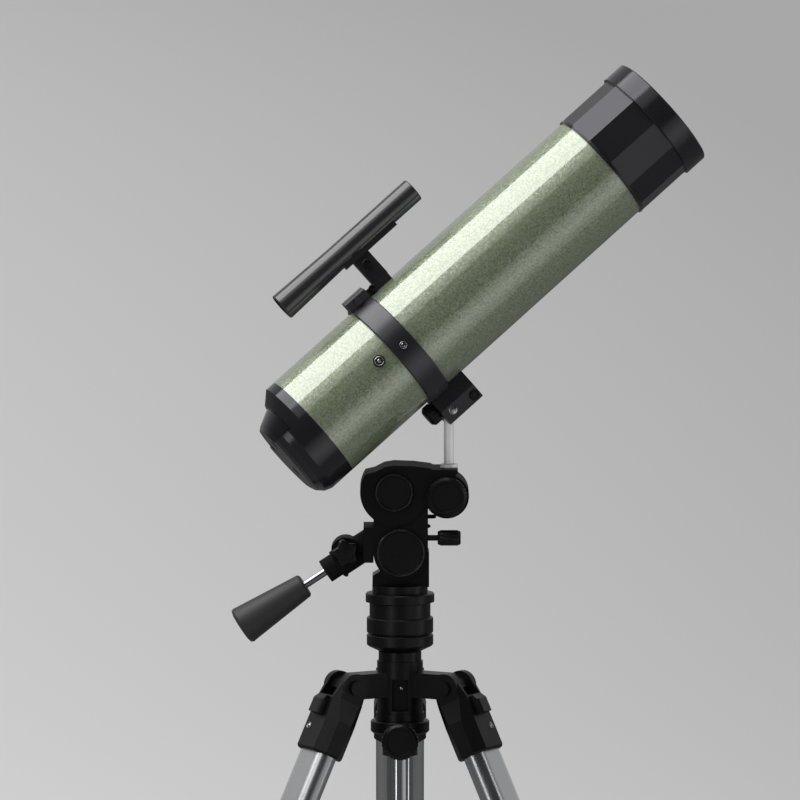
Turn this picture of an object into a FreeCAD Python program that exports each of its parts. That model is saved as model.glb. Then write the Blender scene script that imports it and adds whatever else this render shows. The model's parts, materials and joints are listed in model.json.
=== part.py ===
import FreeCAD, Part
import os
import re
import Sketcher

# A short reflecting telescope on a photo tripod, modelled at rest on its three
# feet.  Millimetres, +Z up, origin on the floor on the tripod's axis, +X towards
# the side that the telescope points to.  Every size below is a cell of the sheet
# "dims", and every piece reads its sizes and its place from those cells.

DRIVING = {
    # clearances
    "slip": 0.1,             # between pieces that slide or turn in one another
    "seat": 0.05,            # between pieces that are fitted and stay put
    "face_gap": 0.3,         # between faces that rub past each other
    # tripod stance
    "leg_splay": 25.5,
    "leg_length": 850,       # leg pivot to the sole of the foot, measured along the leg
    "leg_circle": 56,        # tripod axis to a leg pivot
    # hub
    "column_radius": 12,
    "column_wall": 1.7,
    "hub_radius": 20.7,
    "hub_neck_radius": 19.3,
    "hub_above": 20.2,
    "hub_neck_above": 28.8,
    "hub_below": 26.6,
    "hub_flange_radius": 21.9,
    "hub_flange_thick": 7.2,
    "window_half": 7.5,
    "window_floor": 15.2,
    "window_top": 4.9,
    "window_bottom": 23.9,
    "arm_half": 10.5,
    "arm_above": 11,
    "arm_below": 11.5,
    "bolt_radius": 4,
    "bolt_head_radius": 6.5,
    "bolt_head_thick": 3.5,
    # column clamp
    "collar_radius": 26.5,
    "collar_thick": 11.7,
    "collar_boss_radius": 15.8,
    "collar_boss_drop": 20,
    "column_knob_drop": 49.5,
    "column_knob_radius": 16,
    "column_knob_thick": 12,
    "column_knob_face": 27.5,
    "knob_screw_radius": 3,
    # centre column
    "column_drop": 247,
    "column_plug": 10,
    "column_cap_radius": 13.5,
    "column_cap_thick": 8,
    "tripod_thread_radius": 2.55,
    "tripod_thread_depth": 10,
    # leg shoulder
    "shoulder_half_x": 16,
    "shoulder_half_y": 23.8,
    "shoulder_top_y": 18,
    "knuckle_radius": 13,
    "shoulder_drop": 66,
    "shoulder_corner": 9,
    "fork_floor": 13.6,
    "socket_depth": 30,
    "latch_depth": 7,
    "latch_half": 8,
    "latch_top": 15,
    "latch_drop": 18,
    "latch_stem_half": 5,
    "latch_stem_length": 8,
    # leg tubes, flat ovals: the narrow way is radial
    "tube_half_x": 11,
    "tube_half_y": 22,
    "leg_wall": 1.5,
    "upper_tube_bottom": 470,
    "inner_half_x": 8,
    "inner_half_y": 19,
    "inner_tube_top": 358,
    "clamp_height": 46,
    "clamp_half_x": 16,
    "clamp_half_y": 27,
    "clamp_corner": 6,
    "clamp_lip": 12,
    "lever_pivot_out": 21,
    "lever_pivot_up": 21,
    "lever_half": 9,
    "lever_thick": 5,
    "lever_length": 40,
    "lever_pin_radius": 2,
    "foot_half_x": 12.5,
    "foot_half_y": 23.5,
    "foot_height": 32,
    "foot_sole_thick": 12,
    # pan and tilt head
    "head_base_radius": 30,
    "head_base_height": 15,
    "head_socket_depth": 10,
    "pan_spigot_radius": 14,
    "pan_spigot_height": 12,
    "pan_groove": 1.7,
    "pan_ring_radius": 30,
    "pan_ring_height": 14,
    "pan_band_radius": 27.5,
    "pan_band_height": 13,
    "pan_flange_radius": 31,
    "pan_flange_height": 9,
    "pan_drum_radius": 25,
    "pan_drum_height": 7.5,
    "post_half": 14,
    "post_radius": 24,
    "post_web_right": 25.5,
    "post_web_left": 19,
    "post_base_left": 25.5,
    "post_base_height": 9,
    "tilt_x": 0.7,
    "tilt_rise": 31,
    "tilt_axle_radius": 6,
    "cheek_radius": 24.5,
    "cheek_thick": 9.2,
    "lobe_radius": 30.5,
    "lobe_x": -5.4,
    "lobe_rise": 54.8,
    "lobe_step": 1.5,        # the lobes stand proud of the cheeks
    "small_lobe_radius": 20,
    "small_lobe_x": 42,
    "small_lobe_rise": 51.2,
    "platform_left": -22.5,
    "platform_right": 52,
    "platform_rise": 75.1,   # tilt axis to the flat seat of the mounting post
    "platform_crown": 3.9,   # how far the rounded top over the large lobe stands above the seat
    "platform_seat": 30,
    "platform_thick": 4.5,
    "tilt_cover_radius": 21.7,
    "lobe_cover_radius": 17.3,
    "cover_thick": 3.6,
    "plate_knob_radius": 17.5,
    "plate_knob_thick": 10,
    "plate_screw_radius": 4,
    "lock_rise": 13.1,
    "lock_shaft_radius": 2.6,
    "lock_knob_radius": 6.4,
    "lock_knob_start": 33.8,
    "lock_knob_length": 20.8,
    # pan handle
    "handle_slope": 33.3,
    "handle_x": -67,
    "handle_drop": 19.5,
    "arm_collar_radius": 11,
    "arm_bar_radius": 13,
    "arm_boss_radius": 13,
    "arm_boss_half": 13.5,
    "arm_base_thick": 9,
    "arm_base_above": 23,
    "arm_clamp_x": -49,
    "arm_clamp_rise": 7.5,
    "rod_radius": 3.5,
    "rod_inside": 18,
    "grip_start": 22.2,
    "grip_length": 69.4,
    "grip_small_radius": 11.25,
    "grip_large_radius": 17.5,
    "handle_knob_radius": 11,
    "handle_knob_thick": 9,
    # mounting post and its pivot under the telescope
    "elevation": 40.8,
    "scope_turn": 12.5,      # the post turns the telescope's front away from the knobs
    "tube_roll": 12,         # the tube is turned in its ring, which lifts its near side
    "mount_x": 44,
    "mount_post_height": 52.9,
    "mount_post_radius": 4.5,
    "mount_base_radius": 8,
    "mount_base_thick": 3,
    "mount_eye_radius": 8.5,
    "mount_eye_half": 4,
    "mount_pin_radius": 3,
    "pivot_along": 103.7,    # from the rear edge of the tube
    "pivot_depth": 19.1,      # under the tube
    # main tube
    "tube_radius": 52.5,
    "tube_wall": 1.2,
    "tube_length": 350,
    "cell_step": 1.3,
    "cell_rim": 3,
    "cell_band": 53,
    "cell_sides": 12,
    "cell_turn": 3,
    "cell_lip": 21,
    "cell_lip_step": 3.5,
    "cell_wall": 6,
    "cell_lip_wall": 3.5,
    "cell_spigot": 10,
    "rear_length": 38,
    "rear_shoulder": 27,
    "rear_ledge": 12,
    "rear_step_in": 9.5,
    "rear_step": 19,
    "rear_hub_radius": 31,
    "rear_spigot": 14,
    "rear_rim": 5.6,
    "rear_well": 27,
    "rear_wall": 7,
    # optics
    "mirror_gap": 0.9,
    "mirror_thick": 11,
    "mirror_focus": 420,
    "mirror_plate_thick": 4,
    "mirror_pad": 2,
    "collimation_circle": 20,
    "collimation_radius": 1.9,
    "collimation_head_radius": 4.2,
    "collimation_head_thick": 3,
    "diagonal_radius": 13,
    "diagonal_thick": 3,
    "spider_hub_radius": 9,
    "spider_vane": 0.8,
    "spider_height": 10,
    "spider_gap": 15,
    # ring, foot and small fittings of the tube
    "ring_centre": 104,
    "ring_width": 22.5,
    "ring_thick": 3.5,
    "lug_rise": 7.95,
    "lug_half": 9,
    "lug_slit": 1.5,
    "shoe_start": 94,
    "shoe_end": 133,
    "shoe_depth": 27.8,
    "shoe_bend_depth": 13.5,
    "shoe_half": 17,
    "shoe_neck_half": 13,
    "shoe_knob_radius": 9.3,
    "shoe_knob_length": 11,
    "shoe_knob_depth": 12.5,
    "shoe_screw_inside": 2.4,
    "small_screw_radius": 2,
    "side_fitting_along": 78.5,
    "side_fitting_turn": 4,
    "side_fitting_radius": 5.5,
    "ring_screw_radius": 3.5,
    # focuser, on the far side of the tube
    "focus_along": 313,
    "focus_saddle_half": 25,
    "focus_saddle_rise": 5.5,
    "focus_barrel_radius": 23,
    "focus_barrel_rise": 31.5,
    "draw_radius": 18,
    "draw_reach": 2.5,
    "draw_rise": 43.5,
    "draw_flange_radius": 20.5,
    "draw_flange_thick": 4,
    "eyepiece_radius": 15.85,
    "eyepiece_inside": 18,
    "eyepiece_head_radius": 19,
    "eyepiece_head_length": 30,
    "eyepiece_bore": 13.5,
    "focus_shaft_radius": 2.5,
    "focus_shaft_rise": 17.5,
    "focus_shaft_half": 36,
    "focus_knob_radius": 11,
    "focus_knob_thick": 10,
    # finder
    "finder_radius": 11.3,
    "finder_rear_radius": 12.9,
    "finder_wall": 1.5,
    "finder_rear": 51,
    "finder_front": 211,
    "finder_rise": 45.5,
    "finder_foot_front": 142,
    "finder_foot_thick": 6.4,
    "finder_stalk_rear": 125.5,
    "finder_stalk_front": 143,
    "finder_stalk_half": 5,
    "finder_rail_front": 178,
    "finder_rail_half": 7,
    "finder_rail_thick": 2.5,
}

# Sizes and heights that follow from the driving ones.
WORKED = {
    "pivot_height": "leg_length * cos(leg_splay)",
    "ring_radius": "tube_radius + seat + ring_thick",
    "bore_radius": "tube_radius - tube_wall",
    "cell_radius": "tube_radius + cell_step",
    "cell_lip_radius": "tube_radius + cell_lip_step",
    "cell_bore": "tube_radius - cell_wall",
    "cell_mouth": "cell_lip_radius - cell_lip_wall",
    "rear_step_radius": "tube_radius - rear_step_in",
    "rear_cavity": "tube_radius - rear_rim",
    "mirror_radius": "rear_cavity - mirror_gap",
    "lug_radius": "ring_radius + lug_rise",
    "shoe_under": "tube_radius + shoe_depth",
    "shoe_bend": "tube_radius + shoe_bend_depth",
    "shoe_knob_under": "tube_radius + shoe_knob_depth",
    "focus_saddle_top": "tube_radius + focus_saddle_rise",
    "focus_barrel_top": "tube_radius + focus_barrel_rise",
    "draw_inside": "tube_radius - draw_reach",
    "draw_top": "tube_radius + draw_rise",
    "focus_shaft_out": "tube_radius + focus_shaft_rise",
    "finder_above": "tube_radius + finder_rise",
    "pivot_under": "tube_radius + pivot_depth",
    "collar_top": "hub_below + hub_flange_thick",
    "collar_base": "collar_top + collar_thick",
    "base_rise": "hub_neck_above + face_gap",
    "pan_rise": "base_rise + head_base_height",
    "pan_height": "pan_groove + pan_ring_height + pan_band_height + pan_flange_height + pan_drum_height",
    "tilt_height": "pan_rise + pan_height + tilt_rise",
    "cheek_inside": "post_half + face_gap",
    "cheek_outside": "cheek_inside + cheek_thick",
    "lobe_half": "cheek_outside + lobe_step",
    "handle_height": "tilt_height - handle_drop",
    "spider_start": "focus_along + spider_gap",
    "finder_saddle": "finder_above - finder_radius",
    "finder_foot_rear": "ring_centre + ring_width / 2 + face_gap",
    "shaft_under": "draw_radius + slip + focus_shaft_radius",
    "clamp_bottom": "upper_tube_bottom + clamp_lip",
    "clamp_top": "clamp_bottom - clamp_height",
    "lever_height": "clamp_bottom - lever_pivot_up",
}

TOWARDS = {
    "+X": "rotation(vector(0; 1; 0); 90)",
    "-X": "rotation(vector(0; 1; 0); -90)",
    "+Y": "rotation(vector(1; 0; 0); -90)",
    "-Y": "rotation(vector(1; 0; 0); 90)",
    "+Z": "rotation(vector(0; 0; 1); 0)",
    "-Z": "rotation(vector(1; 0; 0); 180)",
}

doc = FreeCAD.newDocument("telescope_on_tripod")
dims = doc.addObject("Spreadsheet::Sheet", "dims")
subparts = []


def fill_sheet():
    """Each driving number and each worked-out formula gets a row and an alias."""
    rows = [(name, str(number)) for name, number in DRIVING.items()]
    rows += [(name, "=" + formula) for name, formula in WORKED.items()]
    for row, (name, content) in enumerate(rows, start=1):
        dims.set(f"A{row}", name)
        dims.set(f"B{row}", content)
        dims.setAlias(f"B{row}", name)
    doc.recompute()


def cells(text):
    """An expression with each size's name written as its cell in the sheet."""
    def cell(match):
        word = match[0]
        return f"dims.{word}" if word in DRIVING or word in WORKED else word
    return re.sub(r"[a-z_]\w*", cell, str(text))


def number(text):
    return float(dims.evalExpression(cells(text)))


def bind(piece, **sizes):
    for name, text in sizes.items():
        piece.setExpression(name, cells(text))
    return piece


def spot(x=0, y=0, z=0, towards="+Z"):
    """A placement expression: a point, and where the piece's own Z looks."""
    turn = TOWARDS.get(towards, towards)
    return cells(f"placement(vector({x}; {y}; {z}); {turn})")


def frame(name, base=None, **where):
    """A named frame, held by an object of its own, that pieces are placed in."""
    held = doc.addObject("App::Placement", name)
    start = f"{base.Name}.Placement * " if base else ""
    held.setExpression("Placement", start + spot(**where))
    return held


def cylinder(name, radius, height, **where):
    made = doc.addObject("Part::Cylinder", name)
    bind(made, Radius=radius, Height=height)
    made.setExpression("Placement", spot(**where))
    return made


def block(name, x, y, z):
    """A box between two expressions along each axis."""
    made = doc.addObject("Part::Box", name)
    bind(made, Length=f"{x[1]} - ({x[0]})", Width=f"{y[1]} - ({y[0]})", Height=f"{z[1]} - ({z[0]})")
    made.setExpression("Placement", spot(x[0], y[0], z[0]))
    return made


def fuse(name, *pieces):
    made = doc.addObject("Part::MultiFuse", name)
    made.Shapes = list(pieces)
    made.Refine = True
    return made


def group(name, *pieces):
    """Separate solids that share one node, such as a set of screws."""
    made = doc.addObject("Part::Compound", name)
    made.Links = list(pieces)
    return made


def cut(name, base, *tools):
    made = doc.addObject("Part::Cut", name)
    made.Base = base
    made.Tool = tools[0] if len(tools) == 1 else fuse(name + "_tools", *tools)
    made.Refine = True
    return made


def common(name, one, other):
    made = doc.addObject("Part::MultiCommon", name)
    made.Shapes = [one, other]
    made.Refine = True
    return made


def copy_at(name, piece, **where):
    """The same shape again, at another place."""
    made = doc.addObject("Part::Compound", name)
    made.Links = [piece]
    made.setExpression("Placement", spot(**where))
    return made


def plane_of(body, role):
    return next(o for o in body.Origin.OriginFeatures if o.Role == role)


def sketch_on(body, name, role="XY_Plane", height="0"):
    sketch = body.newObject("Sketcher::SketchObject", name)
    sketch.AttachmentSupport = [(plane_of(body, role), "")]
    sketch.MapMode = "FlatFace"
    sketch.AttachmentOffset = FreeCAD.Placement(FreeCAD.Vector(0, 0, number(height)), FreeCAD.Rotation())
    sketch.setExpression("AttachmentOffset.Base.z", cells(height))
    return sketch


def pin_point(sketch, edge, end, x, y):
    """Holds one end of an edge, or a circle's centre, at a place given by two expressions."""
    for kind, text in (("DistanceX", x), ("DistanceY", y)):
        held = sketch.addConstraint(Sketcher.Constraint(kind, -1, 1, edge, end, number(text)))
        sketch.setExpression(f"Constraints[{held}]", cells(text))


def outline(sketch, points):
    """A closed outline of straight edges, each corner held by expressions."""
    at = [FreeCAD.Vector(number(x), number(y), 0) for x, y in points]
    last = len(points) - 1
    for i in range(len(points)):
        sketch.addGeometry(Part.LineSegment(at[i], at[0 if i == last else i + 1]))
    for i, (x, y) in enumerate(points):
        sketch.addConstraint(Sketcher.Constraint("Coincident", i, 2, 0 if i == last else i + 1, 1))
        pin_point(sketch, i, 1, x, y)


def slot_outline(sketch, half_x, half_y):
    """A flat oval about the origin, long in Y: two straight sides and two half circles."""
    r, y = number(half_x), number(f"{half_y} - ({half_x})")
    quarter = 1.5707963267948966
    spots = [FreeCAD.Vector(0, y, 0), FreeCAD.Vector(0, -y, 0)]
    up = FreeCAD.Vector(0, 0, 1)
    sketch.addGeometry(Part.ArcOfCircle(Part.Circle(spots[0], up, r), 0, 2 * quarter))
    sketch.addGeometry(Part.ArcOfCircle(Part.Circle(spots[1], up, r), 2 * quarter, 4 * quarter))
    sketch.addGeometry(Part.LineSegment(FreeCAD.Vector(-r, y, 0), FreeCAD.Vector(-r, -y, 0)))
    sketch.addGeometry(Part.LineSegment(FreeCAD.Vector(r, -y, 0), FreeCAD.Vector(r, y, 0)))
    for kind, one, end, other, start in (
        ("Tangent", 0, 2, 2, 1), ("Coincident", 2, 2, 1, 1), ("Tangent", 1, 2, 3, 1),
        ("Coincident", 3, 2, 0, 1),
    ):
        sketch.addConstraint(Sketcher.Constraint(kind, one, end, other, start))
    for edge, end, x, height in (
        (2, 1, f"-({half_x})", f"{half_y} - ({half_x})"),
        (2, 2, f"-({half_x})", f"{half_x} - ({half_y})"),
        (3, 1, half_x, f"{half_x} - ({half_y})"),
        (3, 2, half_x, f"{half_y} - ({half_x})"),
    ):
        pin_point(sketch, edge, end, x, height)


def turned(name, points):
    """A body turned about its own Z from an outline of (radius, height) corners."""
    body = doc.addObject("PartDesign::Body", name)
    sketch = sketch_on(body, name + "_profile", "XZ_Plane")
    outline(sketch, points)
    made = body.newObject("PartDesign::Revolution", name + "_turning")
    made.Profile = sketch
    made.ReferenceAxis = (sketch, ["V_Axis"])
    made.Angle = 360
    return body


def padded(name, draw, low, high, role="XY_Plane"):
    """A body padded along a plane's normal between two heights, from what draw(sketch) draws."""
    body = doc.addObject("PartDesign::Body", name)
    sketch = sketch_on(body, name + "_outline", role, low)
    draw(sketch)
    made = body.newObject("PartDesign::Pad", name + "_pad")
    made.Profile = sketch
    bind(made, Length=f"{high} - ({low})")
    return body


def lofted(name, levels):
    """A body lofted through outlines drawn at several heights: [(draw, height), ...]."""
    body = doc.addObject("PartDesign::Body", name)
    sketches = []
    for step, (draw, height) in enumerate(levels):
        sketch = sketch_on(body, f"{name}_level_{step}", "XY_Plane", height)
        draw(sketch)
        sketches.append(sketch)
    made = body.newObject("PartDesign::AdditiveLoft", name + "_loft")
    made.Profile = sketches[0]
    made.Sections = sketches[1:]
    made.Ruled = True
    return body


def octagon(half_x, half_y, corner):
    """Corners of a rectangle with its four corners cut off, as expressions."""
    x, y, c = f"({half_x})", f"({half_y})", f"({corner})"
    return [
        (f"{x} - {c}", y), (f"{c} - {x}", y), (f"-{x}", f"{y} - {c}"), (f"-{x}", f"{c} - {y}"),
        (f"{c} - {x}", f"-{y}"), (f"{x} - {c}", f"-{y}"), (x, f"{c} - {y}"), (x, f"{y} - {c}"),
    ]


def subpart(label, piece, where, **at):
    """Gives a finished piece its label and its place in a frame, and lists it as a node."""
    piece.Label = label
    piece.setExpression("Placement", f"{where.Name}.Placement * " + spot(**at))
    subparts.append(piece)


fill_sheet()

# Frames: the hub at the height of the leg pivots, the head's stack, the handle, and
# the telescope's ring and tube, whose Z is the optical axis and whose X points under it.
hub_frame = frame("hub_frame", z="pivot_height")
base_frame = frame("base_frame", hub_frame, z="base_rise")
pan_frame = frame("pan_frame", hub_frame, z="pan_rise")
tilt_frame = frame("tilt_frame", hub_frame, x="tilt_x", z="tilt_height")
small_lobe_frame = frame("small_lobe_frame", hub_frame, z="tilt_height + small_lobe_rise")
handle_frame = frame("handle_frame", hub_frame, x="handle_x", z="handle_height",
                     towards="rotation(vector(0; 1; 0); -90 - handle_slope)")
platform_frame = frame("platform_frame", hub_frame, x="mount_x", z="tilt_height + platform_rise",
                       towards="rotation(vector(0; 0; 1); scope_turn)")
alt_frame = frame("alt_frame", platform_frame, z="mount_post_height",
                  towards="rotation(vector(0; 1; 0); 90 - elevation)")
ring_frame = frame("ring_frame", alt_frame, x="-pivot_under", z="-pivot_along")
scope_frame = frame("scope_frame", ring_frame, towards="rotation(vector(0; 0; 1); -tube_roll)")
focus_frame = frame("focus_frame", scope_frame, z="focus_along", towards="+Y")


def make_hub():
    """The casting that carries the legs: a sleeve for the column and three arms."""
    bore = "column_radius + slip"
    sleeve = turned("hub_sleeve", [
        (bore, "-collar_top"), ("hub_flange_radius", "-collar_top"), ("hub_flange_radius", "-hub_below"),
        ("hub_radius", "-hub_below"), ("hub_radius", "hub_above"), ("hub_neck_radius", "hub_above"),
        ("hub_neck_radius", "hub_neck_above"), (bore, "hub_neck_above"),
    ])
    arm = padded("hub_arm", lambda sketch: outline(sketch, [
        ("window_floor", "-arm_below"), ("leg_circle - 3", "-arm_below"),
        ("leg_circle + 5", "2 - arm_below"), ("leg_circle + 10", "0"), ("leg_circle + 6.5", "6"),
        ("leg_circle - 4", "arm_above"), ("window_floor", "arm_above"),
    ]), "-arm_half", "arm_half", "XZ_Plane")
    hole = cylinder("hub_arm_hole", "bolt_radius + slip", "2 * arm_half + 2",
                    x="leg_circle", y="-arm_half - 1", towards="+Y")
    drilled = cut("hub_arm_drilled", arm, hole)
    arms = [copy_at(f"hub_arm_{side}", drilled, towards=f"rotation(vector(0; 0; 1); {azimuth})")
            for side, azimuth in LEGS.items()]
    window = block("hub_window", ("-window_half", "window_half"), ("-hub_radius - 1", "-window_floor"),
                   ("-window_bottom", "window_top"))
    hub = cut("hub", fuse("hub_whole", sleeve, *arms), window)
    subpart("hub", hub, hub_frame)


def make_leg_bolts():
    """One bolt per leg, through the fork of the shoulder and the arm between."""
    bolts = []
    for side, azimuth in LEGS.items():
        shank = cylinder(f"bolt_shank_{side}", "bolt_radius", "2 * shoulder_top_y + 2",
                         y="-shoulder_top_y - 1", towards="+Y")
        head = cylinder(f"bolt_head_{side}", "bolt_head_radius", "bolt_head_thick",
                        y="-shoulder_top_y - face_gap", towards="-Y")
        nut = cylinder(f"bolt_nut_{side}", "bolt_head_radius", "bolt_head_thick",
                       y="shoulder_top_y + face_gap", towards="+Y")
        bolt = fuse(f"bolt_{side}", shank, head, nut)
        bolt.setExpression("Placement", f"leg_frame_{side}.Placement")
        bolts.append(bolt)
    bolts = group("leg_bolts", *bolts)
    bolts.Label = "leg_bolts"
    subparts.append(bolts)


def make_column():
    """The lock collar under the hub, the sliding centre column and its end cap."""
    bore = "column_radius + slip"
    ring = turned("collar_ring", [
        (bore, "-collar_base - collar_boss_drop"),
        ("collar_boss_radius", "-collar_base - collar_boss_drop"),
        ("collar_boss_radius", "-collar_base"), ("collar_radius - 2", "-collar_base"),
        ("collar_radius", "2 - collar_base"), ("collar_radius", "-collar_top - 1"),
        ("collar_radius - 1", "-collar_top"), (bore, "-collar_top"),
    ])
    boss = cylinder("collar_boss", "7", "column_knob_face - column_radius - 1 - face_gap",
                    y="-column_radius - 1", z="-column_knob_drop", towards="-Y")
    hole = cylinder("collar_hole", "knob_screw_radius + slip", "column_knob_face",
                    y="-column_radius + 1", z="-column_knob_drop", towards="-Y")
    subpart("column_collar", cut("collar", fuse("collar_whole", ring, boss), hole), hub_frame)

    knob = turned("column_knob_turned", [
        ("0", "0"), ("8", "0"), ("column_knob_radius - 1.5", "1"), ("column_knob_radius", "2.5"),
        ("column_knob_radius", "column_knob_thick - 2"), ("column_knob_radius - 2", "column_knob_thick"),
        ("column_knob_radius - 4", "column_knob_thick"),
        ("column_knob_radius - 4.5", "column_knob_thick - 1"),
        ("0", "column_knob_thick - 1"),
    ])
    screw = cylinder("column_knob_screw", "knob_screw_radius", "column_knob_face - column_radius",
                     z="column_radius + face_gap - column_knob_face")
    knob_frame = frame("column_knob_frame", hub_frame, y="-column_knob_face", z="-column_knob_drop",
                       towards="-Y")
    subpart("column_knob", fuse("column_knob", knob, screw), knob_frame)

    inner = "column_radius - column_wall"
    tube = turned("column_tube", [
        (inner, "-column_drop"), ("column_radius", "-column_drop"),
        ("column_radius", "base_rise + head_socket_depth"), (inner, "base_rise + head_socket_depth"),
    ])
    subpart("column_tube", tube, hub_frame)

    cap = turned("column_cap", [
        ("tripod_thread_radius", "-column_drop - column_cap_thick"),
        ("column_cap_radius - 1.5", "-column_drop - column_cap_thick"),
        ("column_cap_radius", "1.5 - column_drop - column_cap_thick"),
        ("column_cap_radius", "-column_drop"), (f"{inner} - seat", "-column_drop"),
        (f"{inner} - seat", "column_plug - column_drop"), ("0", "column_plug - column_drop"),
        ("0", "tripod_thread_depth - column_drop - column_cap_thick"),
        ("tripod_thread_radius", "tripod_thread_depth - column_drop - column_cap_thick"),
    ])
    subpart("column_cap", cap, hub_frame)


LEGS = {"left": -150, "right": -30, "back": 90}


def make_leg(side, azimuth):
    """One leg in its own frame: Z up the leg from its pivot, X outwards, Y across."""
    leg_frame = frame(
        f"leg_frame_{side}", hub_frame, x=f"leg_circle * cos({azimuth})", y=f"leg_circle * sin({azimuth})",
        towards=f"rotation(vector(0; 0; 1); {azimuth}) * rotation(vector(0; 1; 0); -leg_splay)")

    # shoulder: a faceted casting, forked over the hub's arm and holding the tube
    casting = lofted(f"shoulder_casting_{side}", [
        (lambda sketch: outline(sketch,
                                octagon("shoulder_half_x - 1", "shoulder_half_y - 1", "shoulder_corner")),
         "-shoulder_drop"),
        (lambda sketch: outline(sketch, octagon("shoulder_half_x", "shoulder_half_y", "shoulder_corner")),
         "2 - shoulder_drop"),
        (lambda sketch: outline(sketch, octagon("shoulder_half_x", "shoulder_half_y", "shoulder_corner")),
         "-shoulder_drop / 2"),
        (lambda sketch: outline(sketch, octagon("shoulder_half_x", "shoulder_top_y", "5")), "-fork_floor"),
        (lambda sketch: outline(sketch, octagon("knuckle_radius", "shoulder_top_y", "3")), "0"),
    ])
    knuckle = cylinder(f"shoulder_knuckle_{side}", "knuckle_radius", "2 * shoulder_top_y",
                       y="-shoulder_top_y", towards="+Y")
    fork = block(f"shoulder_fork_{side}", ("-shoulder_half_x - 5", "shoulder_half_x + 5"),
                 ("-arm_half - face_gap", "arm_half + face_gap"), ("-fork_floor", "shoulder_half_x + 5"))
    hole = cylinder(f"shoulder_hole_{side}", "bolt_radius + slip", "2 * shoulder_top_y + 4",
                    y="-shoulder_top_y - 2", towards="+Y")
    socket = padded(f"shoulder_socket_{side}",
                    lambda sketch: slot_outline(sketch, "tube_half_x + seat", "tube_half_y + seat"),
                    "-shoulder_drop - 1", "socket_depth - shoulder_drop")
    recess = block(f"shoulder_recess_{side}",
                   ("shoulder_half_x - latch_stem_length - face_gap", "shoulder_half_x + 1"),
                   ("-latch_stem_half - slip", "latch_stem_half + slip"),
                   ("-latch_top - latch_drop + 4 - slip", "-latch_top - 4 + slip"))
    shoulder = cut(f"shoulder_{side}", fuse(f"shoulder_whole_{side}", casting, knuckle), fork, hole,
                   socket, recess)
    subpart(f"shoulder_{side}", shoulder, leg_frame)

    # angle latch: a head outside the shoulder on a stem that slides in its recess
    head = lofted(f"latch_head_{side}", [
        (lambda sketch: outline(sketch, octagon("latch_depth", "latch_half", "1.5")), "0"),
        (lambda sketch: outline(sketch, octagon("latch_depth", "latch_half", "1.5")), "latch_drop - 5"),
        (lambda sketch: outline(sketch, octagon("latch_depth - 3", "latch_half - 1", "1.5")), "latch_drop"),
    ])
    trim = block(f"latch_trim_{side}", ("-latch_depth - 1", "0"), ("-latch_half - 1", "latch_half + 1"),
                 ("-1", "latch_drop + 1"))
    outside = cut(f"latch_outside_{side}", head, trim)
    outside.setExpression("Placement", spot("shoulder_half_x + face_gap", 0, "-latch_top - latch_drop"))
    stem = block(f"latch_stem_{side}", ("shoulder_half_x - latch_stem_length", "shoulder_half_x + 1"),
                 ("-latch_stem_half", "latch_stem_half"),
                 ("-latch_top - latch_drop + 4", "-latch_top - 4"))
    subpart(f"angle_latch_{side}", fuse(f"latch_{side}", outside, stem), leg_frame)

    # upper tube, a hollow flat oval
    top = "socket_depth - shoulder_drop - face_gap"
    outer = padded(f"upper_outer_{side}", lambda sketch: slot_outline(sketch, "tube_half_x", "tube_half_y"),
                   "-upper_tube_bottom", top)
    inner = padded(f"upper_inner_{side}", lambda sketch: slot_outline(
        sketch, "tube_half_x - leg_wall", "tube_half_y - leg_wall"), "-upper_tube_bottom - 1", f"{top} + 1")
    subpart(f"upper_tube_{side}", cut(f"upper_tube_{side}", outer, inner), leg_frame)

    # clamp collar at the end of the upper tube, with ears for its lever
    shell = padded(f"clamp_shell_{side}",
                   lambda sketch: outline(sketch, octagon("clamp_half_x", "clamp_half_y", "clamp_corner")),
                   "-clamp_bottom", "-clamp_top")
    ears = block(f"clamp_ears_{side}", ("clamp_half_x - 1", "lever_pivot_out + 5"),
                 ("-lever_half - 5", "lever_half + 5"), ("-lever_height - 6", "6 - lever_height"))
    gap = block(f"clamp_gap_{side}", ("clamp_half_x", "lever_pivot_out + 6"),
                ("-lever_half - face_gap", "lever_half + face_gap"),
                ("-lever_height - 7", "7 - lever_height"))
    eared = fuse(f"clamp_eared_{side}", shell, cut(f"clamp_ear_pair_{side}", ears, gap))
    sleeve = padded(f"clamp_sleeve_{side}",
                    lambda sketch: slot_outline(sketch, "tube_half_x + seat", "tube_half_y + seat"),
                    "-upper_tube_bottom", "1 - clamp_top")
    throat = padded(f"clamp_throat_{side}",
                    lambda sketch: slot_outline(sketch, "inner_half_x + slip", "inner_half_y + slip"),
                    "-clamp_bottom - 1", "1 - upper_tube_bottom")
    pin_hole = cylinder(f"clamp_pin_hole_{side}", "lever_pin_radius + slip", "2 * lever_half + 14",
                        x="lever_pivot_out", y="-lever_half - 7", z="-lever_height", towards="+Y")
    subpart(f"leg_clamp_{side}", cut(f"leg_clamp_{side}", eared, sleeve, throat, pin_hole), leg_frame)

    # lever: a plate hanging from its own pin, shut against the lower tube's side
    plate = padded(f"lever_plate_{side}", lambda sketch: outline(sketch, [
        ("lever_pivot_out - 4", "1.5 - lever_height"), ("lever_pivot_out - 1.5", "4 - lever_height"),
        ("lever_pivot_out + 3.5", "4 - lever_height"), ("lever_pivot_out + 5", "-lever_height"),
        ("lever_pivot_out + 2", "-lever_height - lever_length"),
        ("lever_pivot_out + 2 - lever_thick", "-lever_height - lever_length"),
        ("lever_pivot_out - 4", "-lever_height - 8"),
    ]), "-lever_half", "lever_half", "XZ_Plane")
    pin = cylinder(f"lever_pin_{side}", "lever_pin_radius", "2 * lever_half + 10",
                   x="lever_pivot_out", y="-lever_half - 5", z="-lever_height", towards="+Y")
    subpart(f"clamp_lever_{side}", fuse(f"clamp_lever_{side}", plate, pin), leg_frame)

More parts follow.
